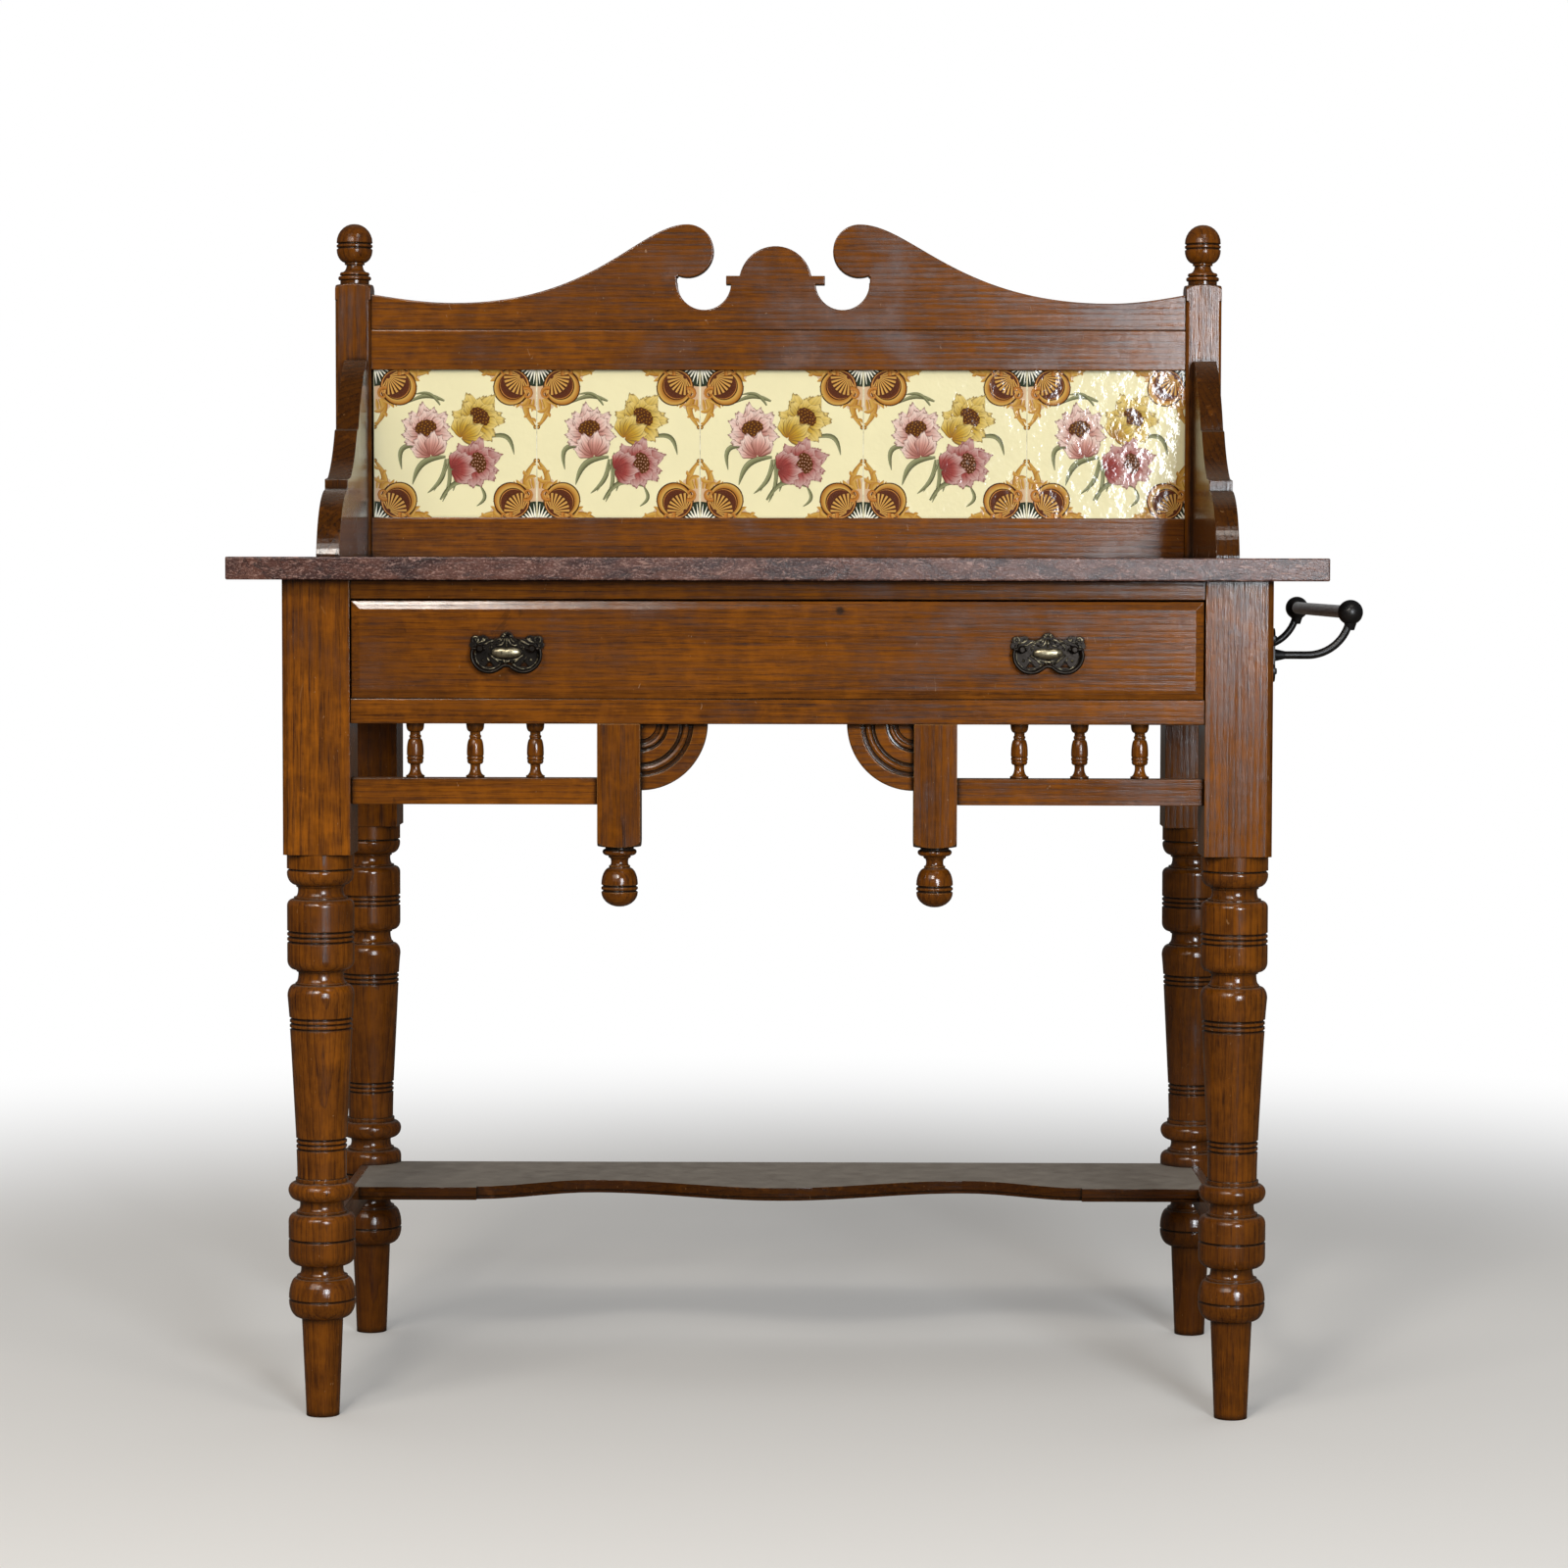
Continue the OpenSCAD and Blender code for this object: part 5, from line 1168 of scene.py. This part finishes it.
CROSS_RAILS = (
    "front_top_rail", "front_lower_rail", "back_apron", "left_gallery_rail",
    "right_gallery_rail", "crest_rail", "splash_top_rail", "splash_bottom_rail",
)
APRONS = ("left_apron", "right_apron")
# Knots and dents: a place in metres and a size
UPRIGHT_KNOTS = (
    (-0.3900, -0.2185, 0.5377, 0.0060), (-0.4054, -0.2145, 0.4242, 0.0075),
    (-0.3980, 0.1530, 0.2417, 0.0140),
)
CROSS_KNOTS = ((0.0351, -0.2105, 0.6839, 0.0050), (0.3296, -0.2135, 0.6027, 0.0045))
# Scratches on the left leg's block, each from one (x, z) to another
SCRATCHES = (
    ((-0.3986, 0.6888), (-0.3930, 0.6790)), ((-0.4122, 0.6244), (-0.4157, 0.6056)),
)
# The stained wood's finishes: the way of the grain, what sets each one apart, and its nodes
STAINED = {
    "upright": (
        "Z", {"knots": UPRIGHT_KNOTS, "lightness": 1.25, "scratches": SCRATCHES},
        ("front_left_leg", "back_left_leg", "left_batten"),
    ),
    "cross": ("X", {"knots": CROSS_KNOTS}, (*CROSS_RAILS, "drawer_front")),
    "side": ("Y", {}, (*APRONS, "left_stretcher", "right_stretcher")),
    "right": ("Z", {}, ("front_right_leg", "back_right_leg", "right_batten")),
    "post": (
        "Z", {"lightness": 0.92},
        ("left_post", "right_post", *(f"spindle_{i}" for i in range(1, 7))),
    ),
    "bracket": ("X", {"moulded": True}, ("left_bracket", "right_bracket")),
    "pendant": ("Z", {"lightness": 0.92, "moulded": True}, ("left_pendant", "right_pendant")),
    # The shelf's top carries the most dust and painted sheen
    "shelf": ("X", {"dust_and_sheen_share": 0.95, "lightness": 0.28}, ("under_shelf",)),
    "wing": ("Z", {"lightness": 0.32}, ("left_wing", "right_wing")),
}
BARE = {
    "cross": ("X", ("tile_board", "drawer_back", "drawer_bottom", "drawer_stops")),
    "side": ("Y", (
        "drawer_runners", "drawer_guides", "drawer_kickers", "drawer_left_side", "drawer_right_side",
    )),
}


class WASHSTAND_OT_stained_wood(bpy.types.Operator):
    """Finish the stained and polished wood"""

    bl_idname = "washstand.stained_wood"
    bl_label = "Stained wood"

    def execute(self, context):
        settings = context.scene.washstand_wood
        for name, (along, extra, nodes) in STAINED.items():
            finish_nodes(nodes, stained_wood(f"stained_wood_{name}", along, settings, **extra))
        for name in CROSS_RAILS + APRONS:
            soften(name, settings.edge_round)
        return {"FINISHED"}


class WASHSTAND_OT_bare_wood(bpy.types.Operator):
    """Finish the bare wood inside the carcase and the drawer"""

    bl_idname = "washstand.bare_wood"
    bl_label = "Bare wood"

    def execute(self, context):
        settings = context.scene.washstand_wood
        for name, (along, nodes) in BARE.items():
            finish_nodes(nodes, bare_pine(f"bare_pine_{name}", along, settings))
        return {"FINISHED"}


class WASHSTAND_OT_tiles(bpy.types.Operator):
    """Glaze the tiles, print them and fill their joints"""

    bl_idname = "washstand.tiles"
    bl_label = "Tiles"

    def execute(self, context):
        settings = context.scene.washstand_tile
        plain = glaze("cream_glaze", settings, False)
        printed = glaze("printed_glaze", settings, True)
        tiles = sorted(name for name in NODES if name.startswith("tile_") and name != "tile_board")
        finish_nodes(tiles, plain)
        for i, name in enumerate(tiles):
            soften(name, settings.edge_round)
            make_print(f"print_{i + 1}", name, printed)
        add_joints(tiles, plaster(settings))
        return {"FINISHED"}


class WASHSTAND_OT_ironwork(bpy.types.Operator):
    """Finish the towel rail and the screws"""

    bl_idname = "washstand.ironwork"
    bl_label = "Ironwork"

    def execute(self, context):
        settings = context.scene.washstand_metal
        finish_nodes(("front_towel_arm", "back_towel_arm", "towel_screws"), black_iron(settings))
        finish_nodes(["towel_rod"], dull_steel("rod_steel", settings.rod))
        finish_nodes(["batten_screws"], dull_steel("screw_steel", SCREW_STEEL))
        return {"FINISHED"}


class WASHSTAND_OT_pulls(bpy.types.Operator):
    """Finish the drawer pulls and emboss their back plates"""

    bl_idname = "washstand.pulls"
    bl_label = "Pulls"

    def execute(self, context):
        settings = context.scene.washstand_metal
        dark = patinated_brass("dark_brass", settings, 0.1)
        worn = patinated_brass("dark_brass_handled", settings, 0.28)
        raised = patinated_brass("dark_brass_raised", settings, 0.6)
        bright = patinated_brass("dark_brass_rubbed", settings, 0.85)
        for side in ("left", "right"):
            plate = f"{side}_pull_plate"
            finish_nodes([plate], dark)
            finish_nodes([f"{side}_bail"], worn)
            for part, shape, material in (("relief", emboss, raised), ("boss", raise_boss, bright)):
                work = Relief(plate)
                shape(work)
                name = f"{side}_pull_{part}"
                add_piece(name, work.points, work.faces, material, "drawer")
        return {"FINISHED"}


DAYLIGHT = (0.88, 0.94, 1.0)
WARM = (1.0, 0.95, 0.88)
# The lamps: place, the point it faces, size, the setting for its power, a share of it, colour
LAMPS = {
    "key_lamp": ((-1.5, -3.1, 2.5), (0.0, 0.1, 0.75), (2.2, 1.7), "key_power", 1.0, WARM),
    "window_lamp": (
        (1.42, -4.6, 1.29), (1.42, 0.0, 1.29), (1.04, 1.42), "window_power", 1.0, DAYLIGHT
    ),
    "left_ceiling_lamp": (
        (-0.78, -3.1, 2.36), (-0.3, -0.2, 0.69), (0.5, 0.45), "ceiling_power", 1.0, WARM
    ),
    "right_ceiling_lamp": (
        (0.6, -1.3, 2.6), (0.5, -0.1, 0.8), (0.5, 0.4), "ceiling_power", 0.18, WARM
    ),
}
WHITE_LIGHT = (1.0, 1.0, 1.0, 1.0)
# The camera's sensor in millimetres and how far it sees in metres
SENSOR_WIDTH = 36
SIGHT = 60
# Half the floor's width, and how far from the stand it fades into the backdrop
FLOOR_REACH = 14.0
FLOOR_FADE = (0.9, 2.4)


class WASHSTAND_OT_studio(bpy.types.Operator):
    """Lay the floor, light the stand and place the camera"""

    bl_idname = "washstand.studio"
    bl_label = "Studio"

    def execute(self, context):
        settings = context.scene.washstand_studio
        scene = context.scene
        scene.view_settings.view_transform = "Standard"
        self.lay_floor(settings)
        self.make_world(scene, settings)
        for name, (place, aim, size, power, share, colour) in LAMPS.items():
            self.add_lamp(name, place, aim, size, getattr(settings, power) * share, colour)
        self.place_camera(scene, settings)
        return {"FINISHED"}

    @staticmethod
    def place_camera(scene, settings):
        """The camera, about as high as the slab."""
        camera = new_object("camera", bpy.data.cameras.new("camera"))
        camera.data.sensor_width = SENSOR_WIDTH
        camera.data.lens = settings.lens
        camera.location = settings.camera_place
        camera.rotation_euler = settings.camera_turn
        camera.data.clip_end = SIGHT
        scene.camera = camera

    @staticmethod
    def add_lamp(name, place, aim, size, power, colour):
        """A flat lamp that faces a point."""
        data = bpy.data.lights.new(name, "AREA")
        data.shape = "RECTANGLE"
        data.size, data.size_y = size
        data.energy = power
        data.color = colour
        lamp = new_object(name, data)
        lamp.location = place
        way = Vector(aim) - Vector(place)
        lamp.rotation_euler = way.to_track_quat("-Z", "Y").to_euler()

    @staticmethod
    def lay_floor(settings):
        """A pale floor that fades into the backdrop."""
        floor, place = new_finish("floor")
        fade = floor.step(floor.length(place), *FLOOR_FADE)
        seen = floor.add("LightPath", output="Is Camera Ray")
        shown = floor.mix(fade, settings.floor, (1.0, 1.0, 1.0))
        matt = floor.add("BsdfDiffuse", None, {"Color": floor.mix(seen, settings.floor_bounce, shown)})
        white = floor.add("Emission", None, {"Color": WHITE_LIGHT, "Strength": 1.0})
        floor.ended(floor.add("MixShader", None, {0: fade * seen, 1: matt, 2: white}))
        corners = [(x * FLOOR_REACH, y * FLOOR_REACH, 0) for x, y in ((-1, -1), (1, -1), (1, 1), (-1, 1))]
        data = bpy.data.meshes.new("floor")
        data.from_pydata(corners, [], [(0, 1, 2, 3)])
        data.materials.append(floor.owner)
        plane = new_object("floor", data)
        plane.location.z = CAD_BOX[0].z

    @staticmethod
    def make_world(scene, settings):
        """Soft light from all round, more of it from the backdrop, which is white to the camera."""
        scene.world = bpy.data.worlds.new("studio")
        world = Finish(scene.world)
        ahead = world.axis(world.add("TexCoord", output="Generated"), "Y")
        rays = {
            name: world.add("LightPath", output=f"Is {name} Ray")
            for name in ("Camera", "Glossy", "Transmission")
        }
        soft = world.step(ahead, -0.6, 0.8, settings.front_light, settings.backdrop)
        mirrored = world.step(ahead, 0.90, 0.99, 0.06, 0.10)
        strength = soft + rays["Glossy"] * (mirrored - soft)
        strength = strength + (rays["Camera"] + rays["Transmission"]).clamped() * (1.0 - strength)
        light = world.add("Background", None, {"Color": WHITE_LIGHT, "Strength": strength})
        world.ended(light, "OutputWorld")


# ---------- the panel ----------

SETTINGS = {
    "washstand_wood": WoodSettings,
    "washstand_stone": StoneSettings,
    "washstand_tile": TileSettings,
    "washstand_metal": MetalSettings,
    "washstand_studio": StudioSettings,
}
OPERATORS = (
    WASHSTAND_OT_marble_top,
    WASHSTAND_OT_stained_wood,
    WASHSTAND_OT_bare_wood,
    WASHSTAND_OT_tiles,
    WASHSTAND_OT_ironwork,
    WASHSTAND_OT_pulls,
    WASHSTAND_OT_studio,
)


class WASHSTAND_PT_panel(bpy.types.Panel):
    """Lists the washstand's pieces and settings"""

    bl_idname = "WASHSTAND_PT_panel"
    bl_label = "Washstand"
    bl_space_type = "VIEW_3D"
    bl_region_type = "UI"
    bl_category = "Washstand"

    def draw(self, context):
        for operator in OPERATORS:
            self.layout.operator(operator.bl_idname)
        for name in SETTINGS:
            group = getattr(context.scene, name)
            box = self.layout.box()
            for key in group.__annotations__:
                box.prop(group, key)


def register():
    for name, group in SETTINGS.items():
        bpy.utils.register_class(group)
        setattr(bpy.types.Scene, name, bpy.props.PointerProperty(type=group))
    for operator in OPERATORS:
        bpy.utils.register_class(operator)
    bpy.utils.register_class(WASHSTAND_PT_panel)


def unregister():
    bpy.utils.unregister_class(WASHSTAND_PT_panel)
    for operator in reversed(OPERATORS):
        bpy.utils.unregister_class(operator)
    for name, group in reversed(SETTINGS.items()):
        delattr(bpy.types.Scene, name)
        bpy.utils.unregister_class(group)


def main():
    register()
    for operator in OPERATORS:
        group, name = operator.bl_idname.split(".")
        getattr(getattr(bpy.ops, group), name)()


if __name__ == "__main__":
    main()
